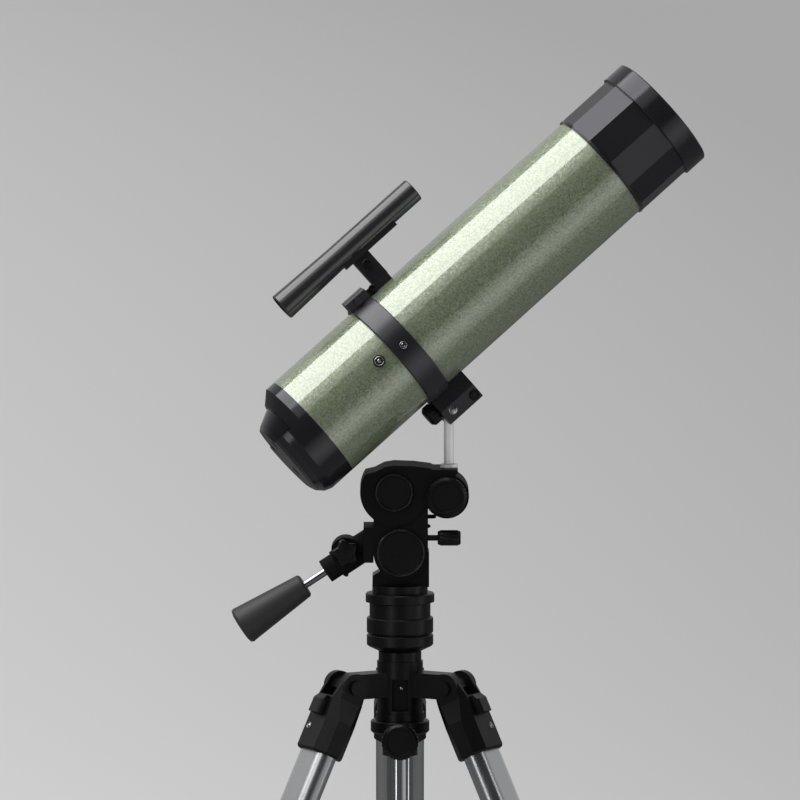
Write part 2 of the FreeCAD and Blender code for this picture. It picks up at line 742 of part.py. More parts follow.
    # lower tube and its rubber foot, whose sole lies flat on the floor
    foot_top = "foot_height - leg_length"
    tube = padded(f"lower_outer_{side}",
                  lambda sketch: slot_outline(sketch, "inner_half_x", "inner_half_y"),
                  "foot_sole_thick - leg_length", "-inner_tube_top")
    hollow = padded(f"lower_hollow_{side}", lambda sketch: slot_outline(
        sketch, "inner_half_x - leg_wall", "inner_half_y - leg_wall"),
        "foot_sole_thick - leg_length - 1", "1 - inner_tube_top")
    subpart(f"lower_tube_{side}", cut(f"lower_tube_{side}", tube, hollow), leg_frame)

    boot = lofted(f"foot_boot_{side}", [
        (lambda sketch: outline(sketch, octagon("foot_half_x - 1", "foot_half_y - 1", "5")), foot_top),
        (lambda sketch: outline(sketch, octagon("foot_half_x", "foot_half_y", "5")), f"{foot_top} - 2"),
        (lambda sketch: outline(sketch, octagon("foot_half_x", "foot_half_y", "5")), "2 - leg_length"),
        (lambda sketch: outline(sketch, octagon("foot_half_x - 1.5", "foot_half_y - 2", "5")),
         "-leg_length - 9"),
    ])
    pocket = padded(f"foot_pocket_{side}",
                    lambda sketch: slot_outline(sketch, "inner_half_x + seat", "inner_half_y + seat"),
                    "foot_sole_thick - leg_length", f"{foot_top} + 1")
    floor = block(f"foot_floor_{side}", ("-60", "60"), ("-60", "60"), ("-40", "0"))
    floor.setExpression("Placement", cells(
        "placement(vector(0; 0; -leg_length); rotation(vector(0; 1; 0); leg_splay))"
        " * placement(vector(-60; -60; -40); rotation(vector(0; 0; 1); 0))"))
    subpart(f"foot_{side}", cut(f"foot_{side}", boot, pocket, floor), leg_frame)


def make_head_base():
    """The fixed base ring on top of the column, with the spigot that the head pans on."""
    base = turned("head_base", [
        ("column_radius + seat", "0"), ("19", "0"), ("head_base_radius - 1.5", "4.5"),
        ("head_base_radius", "6"), ("head_base_radius", "head_base_height - 0.5"),
        ("head_base_radius - 0.5", "head_base_height"), ("pan_spigot_radius", "head_base_height"),
        ("pan_spigot_radius", "head_base_height + pan_spigot_height"),
        ("0", "head_base_height + pan_spigot_height"), ("0", "head_socket_depth + face_gap"),
        ("column_radius + seat", "head_socket_depth + face_gap"),
    ])
    subpart("head_base", base, base_frame)


def make_pan_body():
    """The part that pans: ring, band, flange and drum, and the post that carries the tilt axle."""
    ring = "pan_groove + pan_ring_height"
    band = f"{ring} + pan_band_height"
    flange = f"{band} + pan_flange_height"
    drum = turned("pan_drum", [
        ("pan_spigot_radius + slip", "face_gap"), ("pan_ring_radius - 4", "face_gap"),
        ("pan_ring_radius - 4", "pan_groove"), ("pan_ring_radius - 0.6", "pan_groove"),
        ("pan_ring_radius", "pan_groove + 0.6"), ("pan_ring_radius", f"{ring} - 0.8"),
        ("pan_ring_radius - 0.8", ring), ("pan_band_radius", ring), ("pan_band_radius", band),
        ("pan_flange_radius", f"{band} + 1"), ("pan_flange_radius", f"{flange} - 1"),
        ("pan_flange_radius - 1", flange), ("pan_drum_radius", flange), ("pan_drum_radius", "pan_height"),
        ("0", "pan_height"), ("0", "pan_spigot_height + face_gap"),
        ("pan_spigot_radius + slip", "pan_spigot_height + face_gap"),
    ])
    web = padded("post_web", lambda sketch: outline(sketch, [
        ("tilt_x - post_base_left", "pan_height - 1"), ("tilt_x + post_web_right", "pan_height - 1"),
        ("tilt_x + post_web_right", "pan_height + tilt_rise"),
        ("tilt_x - post_web_left", "pan_height + tilt_rise"),
        ("tilt_x - post_web_left", "pan_height + post_base_height + 4"),
        ("tilt_x - post_base_left", "pan_height + post_base_height"),
    ]), "-post_half", "post_half", "XZ_Plane")
    knuckle = cylinder("post_knuckle", "post_radius", "2 * post_half", x="tilt_x", y="-post_half",
                       z="pan_height + tilt_rise", towards="+Y")
    hole = cylinder("post_hole", "tilt_axle_radius + slip", "2 * post_half + 2", x="tilt_x",
                    y="-post_half - 1", z="pan_height + tilt_rise", towards="+Y")
    subpart("pan_body", cut("pan_body", fuse("pan_whole", drum, web, knuckle), hole), pan_frame)


def make_tilt_head():
    """The tilting head: two cheeks over the post, two lobes above them and the platform on top."""
    cheeks = []
    for side, low in (("near", "-cheek_outside"), ("far", "cheek_inside")):
        disc = cylinder(f"cheek_disc_{side}", "cheek_radius", "cheek_thick", y=low, towards="+Y")
        web = block(f"cheek_web_{side}", ("-cheek_radius", "cheek_radius"), (low, f"{low} + cheek_thick"),
                    ("0", "lobe_rise - 8"))
        cheeks += [disc, web]
    lobe = cylinder("lobe_drum", "lobe_radius", "2 * lobe_half", x="lobe_x - tilt_x", y="-lobe_half",
                    z="lobe_rise", towards="+Y")
    small = cylinder("small_lobe_drum", "small_lobe_radius", "2 * lobe_half", x="small_lobe_x - tilt_x",
                     y="-lobe_half", z="small_lobe_rise", towards="+Y")
    bridge = padded("lobe_bridge", lambda sketch: outline(sketch, [
        ("lobe_x - tilt_x", "lobe_rise - 14"), ("small_lobe_x - tilt_x", "small_lobe_rise - 8"),
        ("small_lobe_x - tilt_x", "platform_rise - platform_thick + 1"),
        ("lobe_x - tilt_x", "platform_rise - platform_thick + 1"),
    ]), "-lobe_half", "lobe_half", "XZ_Plane")
    rounded_top = [
        ("platform_seat - tilt_x", "platform_rise"), ("platform_seat - tilt_x - 3", "platform_rise + 1.4"),
        ("(platform_seat + lobe_x) / 2 - tilt_x", "platform_rise + 0.84 * platform_crown"),
        ("lobe_x - tilt_x", "platform_rise + platform_crown"),
        ("(platform_left + lobe_x) / 2 - tilt_x", "platform_rise + 0.64 * platform_crown"),
        ("platform_left - tilt_x", "platform_rise - 2"),
    ]
    platform = padded("platform", lambda sketch: outline(sketch, [
        ("platform_left - tilt_x", "platform_rise - platform_thick"),
        ("platform_right - tilt_x - 2", "platform_rise - platform_thick"),
        ("platform_right - tilt_x", "platform_rise - platform_thick + 1.5"),
        ("platform_right - tilt_x", "platform_rise - 1"), ("platform_right - tilt_x - 1", "platform_rise"),
        *rounded_top,
    ]), "-lobe_half", "lobe_half", "XZ_Plane")
    shelf = block("platform_shelf", ("lobe_x - tilt_x - 8", "small_lobe_x - tilt_x"),
                  ("-lobe_half", "lobe_half"),
                  ("lobe_rise", "platform_rise - 1"))
    flat = padded("lobe_trim", lambda sketch: outline(sketch, [
        ("platform_seat - tilt_x", "lobe_rise + 2 * lobe_radius"), *rounded_top,
        ("lobe_x - tilt_x - lobe_radius", "lobe_rise + lobe_radius / 2"),
        ("lobe_x - tilt_x - lobe_radius", "lobe_rise + 2 * lobe_radius"),
    ]), "-lobe_half - 1", "lobe_half + 1", "XZ_Plane")
    axle_hole = cylinder("tilt_axle_hole", "tilt_axle_radius + seat", "2 * cheek_outside + 2",
                         y="-cheek_outside - 1", towards="+Y")
    plate_hole = cylinder("plate_screw_hole", "plate_screw_radius + slip", "20", x="small_lobe_x - tilt_x",
                          y="-lobe_half + 18", z="small_lobe_rise", towards="-Y")
    lock_hole = cylinder("lock_hole", "lock_shaft_radius + slip", "14", x="cheek_radius - 12",
                         y="-cheek_outside + cheek_thick / 2", z="lock_rise", towards="+X")
    stud_hole = cylinder("stud_hole", "mount_pin_radius + seat", "12", x="mount_x - tilt_x",
                         z="platform_rise - 9", towards="+Z")
    whole = fuse("tilt_whole", *cheeks, lobe, small, bridge, platform, shelf)
    head = cut("tilt_head", whole, flat, axle_hole, plate_hole, lock_hole, stud_hole)
    subpart("tilt_head", head, tilt_frame)

    axle = cylinder("tilt_axle", "tilt_axle_radius", "2 * cheek_outside")
    subpart("tilt_axle", axle, tilt_frame, y="-cheek_outside", towards="+Y")

    covers = []
    for cap, radius, x, z, out in (
        ("tilt", "tilt_cover_radius", "0", "0", "cheek_outside"),
        ("lobe", "lobe_cover_radius", "lobe_x - tilt_x", "lobe_rise", "lobe_half"),
    ):
        for side, sign, towards in (("near", "-", "-Y"), ("far", "", "+Y")):
            disc = turned(f"{cap}_cover_{side}", [
                ("0", "0"), (radius, "0"), (radius, "cover_thick - 1.2"),
                (f"{radius} - 1.2", "cover_thick"),
                (f"{radius} - 2.4", "cover_thick"), (f"{radius} - 3", "cover_thick - 0.8"),
                ("0", "cover_thick - 0.8"),
            ])
            disc.setExpression("Placement", spot(x, f"{sign}({out})", z, towards))
            covers.append(disc)
    subpart("head_covers", group("head_covers", *covers), tilt_frame)

    knob = turned("plate_knob_turned", [
        ("0", "0"), ("plate_knob_radius - 2", "0"), ("plate_knob_radius", "1.5"),
        ("plate_knob_radius", "plate_knob_thick - 2"), ("plate_knob_radius - 2", "plate_knob_thick"),
        ("plate_knob_radius - 4", "plate_knob_thick"), ("plate_knob_radius - 4.6", "plate_knob_thick - 1"),
        ("0", "plate_knob_thick - 1"),
    ])
    screw = cylinder("plate_screw", "plate_screw_radius", "16", z="-15")
    plate_frame = frame("plate_frame", small_lobe_frame, x="small_lobe_x", y="-lobe_half - face_gap",
                        towards="-Y")
    subpart("plate_knob", fuse("plate_knob", knob, screw), plate_frame)

    lock = turned("lock_knob_turned", [
        ("0", "0"), ("lock_knob_radius - 1", "0"), ("lock_knob_radius", "1"),
        ("lock_knob_radius", "lock_knob_length - 1"), ("lock_knob_radius - 1", "lock_knob_length"),
        ("0", "lock_knob_length"),
    ])
    shaft_start = "lock_knob_start - tilt_x - cheek_radius + 10"
    shaft = cylinder("lock_shaft", "lock_shaft_radius", f"{shaft_start} + 1", z=f"-({shaft_start})")
    lock_frame = frame("lock_frame", tilt_frame, x="lock_knob_start - tilt_x",
                       y="-cheek_outside + cheek_thick / 2", z="lock_rise", towards="+X")
    subpart("tilt_lock_knob", fuse("tilt_lock_knob", lock, shaft), lock_frame)


def make_handle():
    """The arm on the side of the head, its clamp knob, and the rod with its tapered grip."""
    base = block("arm_base",
                 ("tilt_x - cheek_radius - arm_base_thick - handle_x",
                  "tilt_x - cheek_radius - seat - handle_x"),
                 ("-cheek_outside", "cheek_outside"), ("handle_drop - 9", "handle_drop + arm_base_above"))
    bar = cylinder("arm_bar", "arm_bar_radius", "40",
                   towards="rotation(vector(0; 1; 0); 90 - handle_slope)",
                   x="12 * cos(handle_slope)", z="12 * sin(handle_slope)")
    collar = cylinder("arm_collar", "arm_collar_radius", "16",
                      towards="rotation(vector(0; 1; 0); 90 - handle_slope)")
    boss_x = "arm_clamp_x - handle_x"
    boss_z = "(arm_clamp_x - handle_x) * tan(handle_slope) + arm_clamp_rise"
    boss = cylinder("arm_boss", "arm_boss_radius", "2 * arm_boss_half", x=boss_x, y="-arm_boss_half",
                    z=boss_z, towards="+Y")
    trim = block("arm_trim", ("tilt_x - cheek_radius - seat - handle_x", "tilt_x + 60 - handle_x"),
                 ("-40", "40"), ("-40", "90"))
    socket = cylinder("arm_socket", "rod_radius + slip", "rod_inside + 2 + face_gap",
                      towards="rotation(vector(0; 1; 0); 90 - handle_slope)",
                      x="-2 * cos(handle_slope)", z="-2 * sin(handle_slope)")
    hole = cylinder("arm_knob_hole", "knob_screw_radius + slip", "10", x=boss_x, y="9 - arm_boss_half",
                    z=boss_z, towards="-Y")
    arm_frame = frame("arm_frame", hub_frame, x="handle_x", z="handle_height")
    subpart("handle_arm", cut("handle_arm", fuse("arm_whole", base, bar, collar, boss), trim, socket, hole),
            arm_frame)

    knob = turned("handle_knob_turned", [
        ("0", "0"), ("handle_knob_radius - 1", "0"), ("handle_knob_radius", "1"),
        ("handle_knob_radius", "handle_knob_thick - 2"), ("handle_knob_radius - 2", "handle_knob_thick"),
        ("0", "handle_knob_thick"),
    ])
    screw = cylinder("handle_knob_screw", "knob_screw_radius", "9", z="-8")
    knob_frame = frame("handle_knob_frame", arm_frame, x=boss_x, y="-arm_boss_half - face_gap", z=boss_z,
                       towards="-Y")
    subpart("handle_clamp_knob", fuse("handle_clamp_knob", knob, screw), knob_frame)

    rod = cylinder("handle_rod", "rod_radius", "rod_inside + grip_start + grip_length - 12")
    subpart("handle_rod", rod, handle_frame, z="-rod_inside")

    end = "grip_start + grip_length"
    grip = turned("handle_grip", [
        ("rod_radius + seat", "grip_start"), ("grip_small_radius - 1.5", "grip_start"),
        ("grip_small_radius", "grip_start + 1.5"), ("grip_large_radius - 0.4", f"{end} - 6"),
        ("grip_large_radius", f"{end} - 3"), ("grip_large_radius - 1", f"{end} - 0.8"),
        ("grip_large_radius - 3.5", end), ("0", end), ("0", f"{end} - 12 + face_gap"),
        ("rod_radius + seat", f"{end} - 12 + face_gap"),
    ])
    subpart("handle_grip", grip, handle_frame)


def make_mount_post():
    """A slim post on the platform, with the eye that the telescope tips on."""
    base = cylinder("mount_base", "mount_base_radius", "mount_base_thick")
    stud = cylinder("mount_stud", "mount_pin_radius", "9", z="face_gap - 8.5")
    rod = cylinder("mount_rod", "mount_post_radius", "mount_post_height - mount_eye_radius + 1.5")
    neck = block("mount_neck", ("-mount_post_radius", "mount_post_radius"),
                 ("-mount_eye_half", "mount_eye_half"),
                 ("mount_post_height - mount_eye_radius", "mount_post_height"))
    eye = cylinder("mount_eye", "mount_eye_radius", "2 * mount_eye_half", y="-mount_eye_half",
                   z="mount_post_height", towards="+Y")
    hole = cylinder("mount_hole", "mount_pin_radius + slip", "2 * mount_eye_half + 2",
                    y="-mount_eye_half - 1", z="mount_post_height", towards="+Y")
    subpart("mount_post", cut("mount_post", fuse("mount_whole", base, stud, rod, neck, eye), hole),
            platform_frame)


def make_tube():
    """The main tube with its faceted front cell and stepped rear cell."""
    outer = cylinder("tube_outer", "tube_radius", "tube_length")
    inner = cylinder("tube_inner", "bore_radius", "tube_length + 2", z="-1")
    window = cylinder("tube_window", "draw_radius + 0.6", "20", y="tube_radius - 10", z="focus_along",
                      towards="+Y")
    fitting = copy_at("tube_fitting_hole_turned", cylinder(
        "tube_fitting_hole", "small_screw_radius + slip", "20", y="10 - tube_radius",
        z="side_fitting_along", towards="-Y"),
        towards="rotation(vector(0; 0; 1); -side_fitting_turn)")
    subpart("main_tube", cut("main_tube", outer, inner, window, fitting), scope_frame)

    rim = turned("cell_rim_ring", [
        ("cell_bore", "tube_length - cell_spigot"), ("bore_radius - seat", "tube_length - cell_spigot"),
        ("bore_radius - seat", "tube_length"), ("cell_radius", "tube_length"),
        ("cell_radius", "tube_length + cell_rim"), ("cell_bore", "tube_length + cell_rim"),
    ])
    band = doc.addObject("Part::Prism", "cell_band_prism")
    bind(band, Polygon="cell_sides", Circumradius="cell_radius", Height="cell_band + 2")
    band.setExpression("Placement", spot(0, 0, "tube_length + cell_rim - 1",
                                         "rotation(vector(0; 0; 1); cell_turn)"))
    lip_start = "tube_length + cell_rim + cell_band"
    lip = turned("cell_lip_ring", [
        ("cell_bore", lip_start), ("cell_lip_radius - 1", lip_start),
        ("cell_lip_radius", f"{lip_start} + 1"),
        ("cell_lip_radius", f"{lip_start} + cell_lip - 1"),
        ("cell_lip_radius - 1", f"{lip_start} + cell_lip"),
        ("cell_mouth", f"{lip_start} + cell_lip"), ("cell_bore", f"{lip_start} + 6"),
    ])
    bore = cylinder("cell_bore_hole", "cell_bore", "cell_band + 20", z="tube_length - cell_spigot")
    cell = cut("front_cell_whole", fuse("front_cell_solid", rim, band), bore)
    subpart("front_cell", fuse("front_cell", cell, lip), scope_frame)

    full = turned("rear_full", [
        ("0", "-rear_length"), ("tube_radius - 13", "-rear_length"), ("tube_radius - 8", "2 - rear_length"),
        ("tube_radius - 2.5", "-rear_shoulder - 3.5"), ("tube_radius", "-rear_shoulder + 3"),
        ("tube_radius", "0"), ("bore_radius - seat", "0"), ("bore_radius - seat", "rear_spigot"),
        ("0", "rear_spigot"),
    ])
    above = block("rear_above", ("-tube_radius - 1", "-rear_ledge"),
                  ("-tube_radius - 1", "tube_radius + 1"),
                  ("-rear_length - 1", "-9"))
    stepped = turned("rear_stepped", [
        ("0", "-rear_length"), ("rear_hub_radius - 2", "-rear_length"),
        ("rear_hub_radius + 1", "4 - rear_length"),
        ("rear_step_radius - 4", "-rear_step - 1"), ("rear_step_radius", "-rear_step"),
        ("tube_radius", "-9"), ("tube_radius", "-8"), ("0", "-8"),
    ])
    cavity = turned("rear_cavity_turned", [
        ("0", "rear_wall - rear_length"), ("rear_well", "rear_wall - rear_length"),
        ("rear_well", "-rear_step + 2"), ("rear_cavity", "-6"), ("rear_cavity", "rear_spigot + 1"),
        ("0", "rear_spigot + 1"),
    ])
    holes = [cylinder(f"rear_hole_{i}", "collimation_radius + slip", "rear_wall + 4",
                      x=f"collimation_circle * cos({120 * i})", y=f"collimation_circle * sin({120 * i})",
                      z="-rear_length - 2") for i in range(3)]
    holes += [cylinder(f"rear_recess_{i}", "collimation_head_radius + 0.8", "collimation_head_thick + 2",
                       x=f"collimation_circle * cos({120 * i})", y=f"collimation_circle * sin({120 * i})",
                       z="-rear_length - 1") for i in range(3)]
    shell = fuse("rear_shell", cut("rear_lower", full, above), stepped)
    subpart("rear_cell", cut("rear_cell", shell, cavity, *holes), scope_frame)


def make_optics():
    """The primary mirror on its adjustable plate, and the diagonal on its spider."""
    plate = cylinder("mirror_plate_disc", "rear_cavity - 0.4", "mirror_plate_thick")
    pads = [cylinder(f"mirror_pad_{i}", "4", "mirror_pad + 1",
                     x=f"32 * cos({60 + 120 * i})", y=f"32 * sin({60 + 120 * i})",
                     z="mirror_plate_thick - 1")
            for i in range(3)]
    threads = [cylinder(f"mirror_thread_{i}", "collimation_radius + seat", "mirror_plate_thick + 2",
                        x=f"collimation_circle * cos({120 * i})", y=f"collimation_circle * sin({120 * i})",
                        z="-1") for i in range(3)]
    subpart("mirror_plate", cut("mirror_plate", fuse("mirror_plate_whole", plate, *pads), *threads),
            scope_frame)

    blank = cylinder("mirror_blank", "mirror_radius", "mirror_thick", z="mirror_plate_thick + mirror_pad")
    hollow = doc.addObject("Part::Sphere", "mirror_hollow")
    bind(hollow, Radius="2 * mirror_focus")
    hollow.setExpression("Placement", spot(
        0, 0, "mirror_plate_thick + mirror_pad + mirror_thick - 1.2 + 2 * mirror_focus"))
    subpart("primary_mirror", cut("primary_mirror", blank, hollow), scope_frame)

    screws = []
    for i in range(3):
        x, y = f"collimation_circle * cos({120 * i})", f"collimation_circle * sin({120 * i})"
        head = cylinder(f"collimation_head_{i}", "collimation_head_radius", "collimation_head_thick",
                        x=x, y=y, z="0.9 - rear_length")
        shank = cylinder(f"collimation_shank_{i}", "collimation_radius",
                         "rear_length + mirror_plate_thick - 2", x=x, y=y, z="1 - rear_length")
        screws.append(fuse(f"collimation_screw_{i}", head, shank))
    subpart("collimation_screws", group("collimation_screws", *screws), scope_frame)

    # the diagonal lies across the axis at 45 degrees, facing the mirror and the focuser
    slant = "rotation(vector(1; 0; 0); -135)"
    slab = doc.addObject("Part::Box", "diagonal_slab")
    bind(slab, Length="80", Width="80", Height="diagonal_thick")
    slab.setExpression("Placement", spot(0, 0, "focus_along", slant) + cells(
        " * placement(vector(-40; -40; -diagonal_thick); rotation(vector(0; 0; 1); 0))"))
    round_bar = cylinder("diagonal_bar", "diagonal_radius", "60", z="focus_along - 30")
    subpart("diagonal_mirror", common("diagonal_mirror", round_bar, slab), scope_frame)

    holder_bar = cylinder("holder_bar", "diagonal_radius - 0.5", "spider_gap + 14", z="focus_along - 14")
    front = doc.addObject("Part::Box", "holder_front")
    bind(front, Length="80", Width="80", Height="60")
    front.setExpression("Placement", spot(0, 0, "focus_along", slant) + cells(
        " * placement(vector(-40; -40; -diagonal_thick - seat); rotation(vector(0; 0; 1); 0))"))
    holder = cut("holder", holder_bar, front)
    boss = cylinder("spider_boss", "spider_hub_radius", "spider_height", z="spider_start")
    neck = cylinder("spider_neck", "4", "4", z="spider_start - 2")
    vanes = []
    for i in range(3):
        vane = block(f"spider_vane_{i}", ("4", "bore_radius - seat"),
                     ("-spider_vane / 2", "spider_vane / 2"),
                     ("0", "spider_height - 1"))
        vane.setExpression("Placement", cells(
            f"placement(vector(0; 0; spider_start); rotation(vector(0; 0; 1); {120 * i + 30}))"
            " * placement(vector(4; -spider_vane / 2; 0); rotation(vector(0; 0; 1); 0))"))
        vanes.append(vane)
    subpart("spider", fuse("spider", holder, boss, neck, *vanes), scope_frame)


def make_tube_ring():
    """The ring round the tube, the shoe under it, its clamp knob and the screws."""
    low, high = "ring_centre - ring_width / 2", "ring_centre + ring_width / 2"
    rolled = "rotation(vector(0; 0; 1); -tube_roll)"
    band = turned("ring_band", [
        ("tube_radius + seat", low), ("ring_radius - 0.8", low), ("ring_radius", f"{low} + 0.8"),
        ("ring_radius", f"{high} - 0.8"), ("ring_radius - 0.8", high), ("tube_radius + seat", high),
    ])
    lug = block("ring_lug", ("-lug_radius", "1 - ring_radius"), ("-lug_half", "lug_half"), (low, high))
    slit = block("ring_slit", ("-lug_radius - 1", "2 - tube_radius"), ("-lug_slit / 2", "lug_slit / 2"),
                 (f"{low} - 1", f"{high} + 1"))
    screw_hole = cylinder("lug_screw_hole", "small_screw_radius + slip", "2 * lug_half + 2",
                          x="-lug_radius + 4",
                          y="-lug_half - 1", z="ring_centre", towards="+Y")
    side_hole = copy_at("ring_side_hole_rolled", cylinder(
        "ring_side_hole", "small_screw_radius + slip", "12", y="6 - ring_radius", z="ring_centre",
        towards="-Y"), towards=rolled)
    subpart("tube_ring", cut("tube_ring", fuse("ring_whole", band, lug), slit, screw_hole, side_hole),
            ring_frame)

    bar = padded("shoe_bar", lambda sketch: outline(sketch, [
        ("tube_radius - 6", "-shoe_neck_half"), ("shoe_bend", "-shoe_half"),
        ("shoe_under - 1.5", "-shoe_half"),
        ("shoe_under", "1.5 - shoe_half"), ("shoe_under", "shoe_half - 1.5"),
        ("shoe_under - 1.5", "shoe_half"),
        ("shoe_bend", "shoe_half"), ("tube_radius - 6", "shoe_neck_half"),
    ]), "shoe_start", "shoe_end")
    over_tube = cylinder("shoe_over_tube", "tube_radius + seat", "shoe_end", z="shoe_start - 20")
    over_ring = cylinder("shoe_over_ring", "ring_radius + seat", "ring_width + 2 * face_gap",
                         z=f"{low} - face_gap")
    slot_half = "mount_eye_half + face_gap"
    swing = "mount_eye_radius + 1"
    eye_room = cylinder("shoe_eye_room", swing, f"2 * ({slot_half})", x="pivot_under", y=f"-({slot_half})",
                        z="pivot_along", towards="+Y")
    slot = block("shoe_slot", ("pivot_under - 1", "shoe_under + 1"),
                 ("-mount_post_radius - 2 * face_gap", "mount_post_radius + 2 * face_gap"),
                 ("shoe_start - 1", f"pivot_along + {swing} + 1"))
    pin_hole = cylinder("shoe_pin_hole", "mount_pin_radius + seat", "2 * shoe_half + 2", x="pivot_under",
                        y="-shoe_half - 1", z="pivot_along", towards="+Y")
    knob_hole = cylinder("shoe_knob_hole", "small_screw_radius + slip", "7", x="shoe_knob_under",
                         z="shoe_start - 1")
    shoe = cut("mounting_shoe", bar, over_tube, over_ring, eye_room, slot, pin_hole, knob_hole)
    subpart("mounting_shoe", shoe, ring_frame)

    knob = turned("shoe_knob_turned", [
        ("0", "0"), ("shoe_knob_radius - 1", "0"), ("shoe_knob_radius", "1"),
        ("shoe_knob_radius", "shoe_knob_length - 2"), ("shoe_knob_radius - 2", "shoe_knob_length"),
        ("0", "shoe_knob_length"),
    ])
    screw = cylinder("shoe_knob_screw", "small_screw_radius", "shoe_screw_inside + 1",
                     z="-shoe_screw_inside")
    knob_frame = frame("shoe_knob_frame", ring_frame, x="shoe_knob_under", z="shoe_start - face_gap",
                       towards="-Z")
    subpart("shoe_clamp_knob", fuse("shoe_clamp_knob", knob, screw), knob_frame)

    # pivot pin, lug screw, ring screw, and the flanged fitting in the tube's side
    pin = cylinder("pivot_pin", "mount_pin_radius", "2 * shoe_half", x="pivot_under", y="-shoe_half",
                   z="pivot_along", towards="+Y")
    lug_screw = fuse(
        "lug_screw",
        cylinder("lug_screw_shank", "small_screw_radius", "2 * lug_half + 2", x="-lug_radius + 4",
                 y="-lug_half - 1",
                 z="ring_centre", towards="+Y"),
        cylinder("lug_screw_head", "3.6", "3", x="-lug_radius + 4", y="-lug_half", z="ring_centre",
                 towards="-Y"))
    side_screw = fuse(
        "ring_screw",
        cylinder("ring_screw_shank", "small_screw_radius", "ring_thick + 0.5",
                 y="3.1 - tube_radius - ring_thick",
                 z="ring_centre", towards="-Y"),
        cylinder("ring_screw_head", "ring_screw_radius", "1.6", y="-ring_radius", z="ring_centre",
                 towards="-Y"))
    fitting = fuse(
        "side_fitting",
        cylinder("fitting_shank", "small_screw_radius", "tube_wall + 4", y="4 - tube_radius",
                 z="side_fitting_along",
                 towards="-Y"),
        cylinder("fitting_flange", "side_fitting_radius", "2.4", y="-tube_radius - seat",
                 z="side_fitting_along", towards="-Y"))
    side_screw = copy_at("ring_screw_rolled", side_screw, towards=rolled)
    fitting = copy_at("side_fitting_rolled", fitting,
                      towards="rotation(vector(0; 0; 1); -tube_roll - side_fitting_turn)")
    subpart("tube_fasteners", group("tube_fasteners", pin, lug_screw, side_screw, fitting), ring_frame)


def make_focuser():
    """A friction focuser: saddle and barrel, sliding drawtube, shaft with two knobs, and the eyepiece."""
    saddle = block("focus_saddle", ("-focus_saddle_half", "focus_saddle_half"),
                   ("-focus_saddle_half", "focus_saddle_half"), ("tube_radius - 9", "focus_saddle_top"))
    barrel = cylinder("focus_barrel", "focus_barrel_radius", "focus_barrel_top - focus_saddle_top + 2",
                      z="focus_saddle_top - 2")
    housing = block("focus_housing", ("10", "shaft_under + 8"), ("-20", "20"),
                    ("focus_shaft_out - 8", "focus_shaft_out + 8"))
    over_tube = cylinder("focus_over_tube", "tube_radius + seat", "120", y="-60", towards="+Y")
    bore = cylinder("focus_bore", "draw_radius + slip", "80", z="20")
    shaft_hole = cylinder("focus_shaft_hole", "focus_shaft_radius + slip", "44", x="shaft_under", y="-22",
                          z="focus_shaft_out", towards="+Y")
    subpart("focuser_body", cut("focuser_body", fuse("focus_whole", saddle, barrel, housing),
                                over_tube, bore, shaft_hole), focus_frame)

    socket = "eyepiece_radius + slip"
    draw = turned("drawtube", [
        (socket, "draw_inside"), ("draw_radius", "draw_inside"),
        ("draw_radius", "draw_top - draw_flange_thick"),
        ("draw_flange_radius", "draw_top - draw_flange_thick"),
        ("draw_flange_radius", "draw_top - 0.6"), ("draw_flange_radius - 0.6", "draw_top"),
        (socket, "draw_top"),
    ])
    subpart("drawtube", draw, focus_frame)

    rod = cylinder("focus_shaft", "focus_shaft_radius", "2 * focus_shaft_half")
    subpart("focus_shaft", rod, focus_frame, x="shaft_under", y="-focus_shaft_half", z="focus_shaft_out",
            towards="+Y")

    knobs = []
    for side, sign, towards in (("front", "-", "-Y"), ("rear", "", "+Y")):
        disc = turned(f"focus_knob_{side}", [
            ("focus_shaft_radius + seat", "0"), ("focus_knob_radius - 1", "0"), ("focus_knob_radius", "1"),
            ("focus_knob_radius", "focus_knob_thick - 1"), ("focus_knob_radius - 1", "focus_knob_thick"),
            ("focus_shaft_radius + seat", "focus_knob_thick"),
        ])
        disc.setExpression("Placement", spot(
            "shaft_under", f"{sign}(focus_shaft_half - focus_knob_thick - 2)", "focus_shaft_out", towards))
        knobs.append(disc)
    subpart("focus_knobs", group("focus_knobs", *knobs), focus_frame)

    top = "draw_top + face_gap"
    end = f"{top} + eyepiece_head_length"
    body = turned("eyepiece_body", [
        ("eyepiece_bore", "draw_top - eyepiece_inside"), ("eyepiece_radius", "draw_top - eyepiece_inside"),
        ("eyepiece_radius", top), ("eyepiece_head_radius", top), ("eyepiece_head_radius", f"{top} + 4"),
        ("eyepiece_head_radius - 2", f"{top} + 5"), ("eyepiece_head_radius - 2", f"{end} - 4"),
        ("eyepiece_head_radius - 4", end), ("9", end), ("9", f"{end} - 5"), ("eyepiece_bore", f"{end} - 9"),
    ])
    subpart("eyepiece_body", body, focus_frame)

    field = cylinder("field_lens", "eyepiece_bore - seat", "3", z="draw_top - eyepiece_inside + 2")
    eye = cylinder("eye_lens", "9 - seat", "2.5", z=f"{end} - 4")
    subpart("eyepiece_lenses", group("eyepiece_lenses", field, eye), focus_frame)


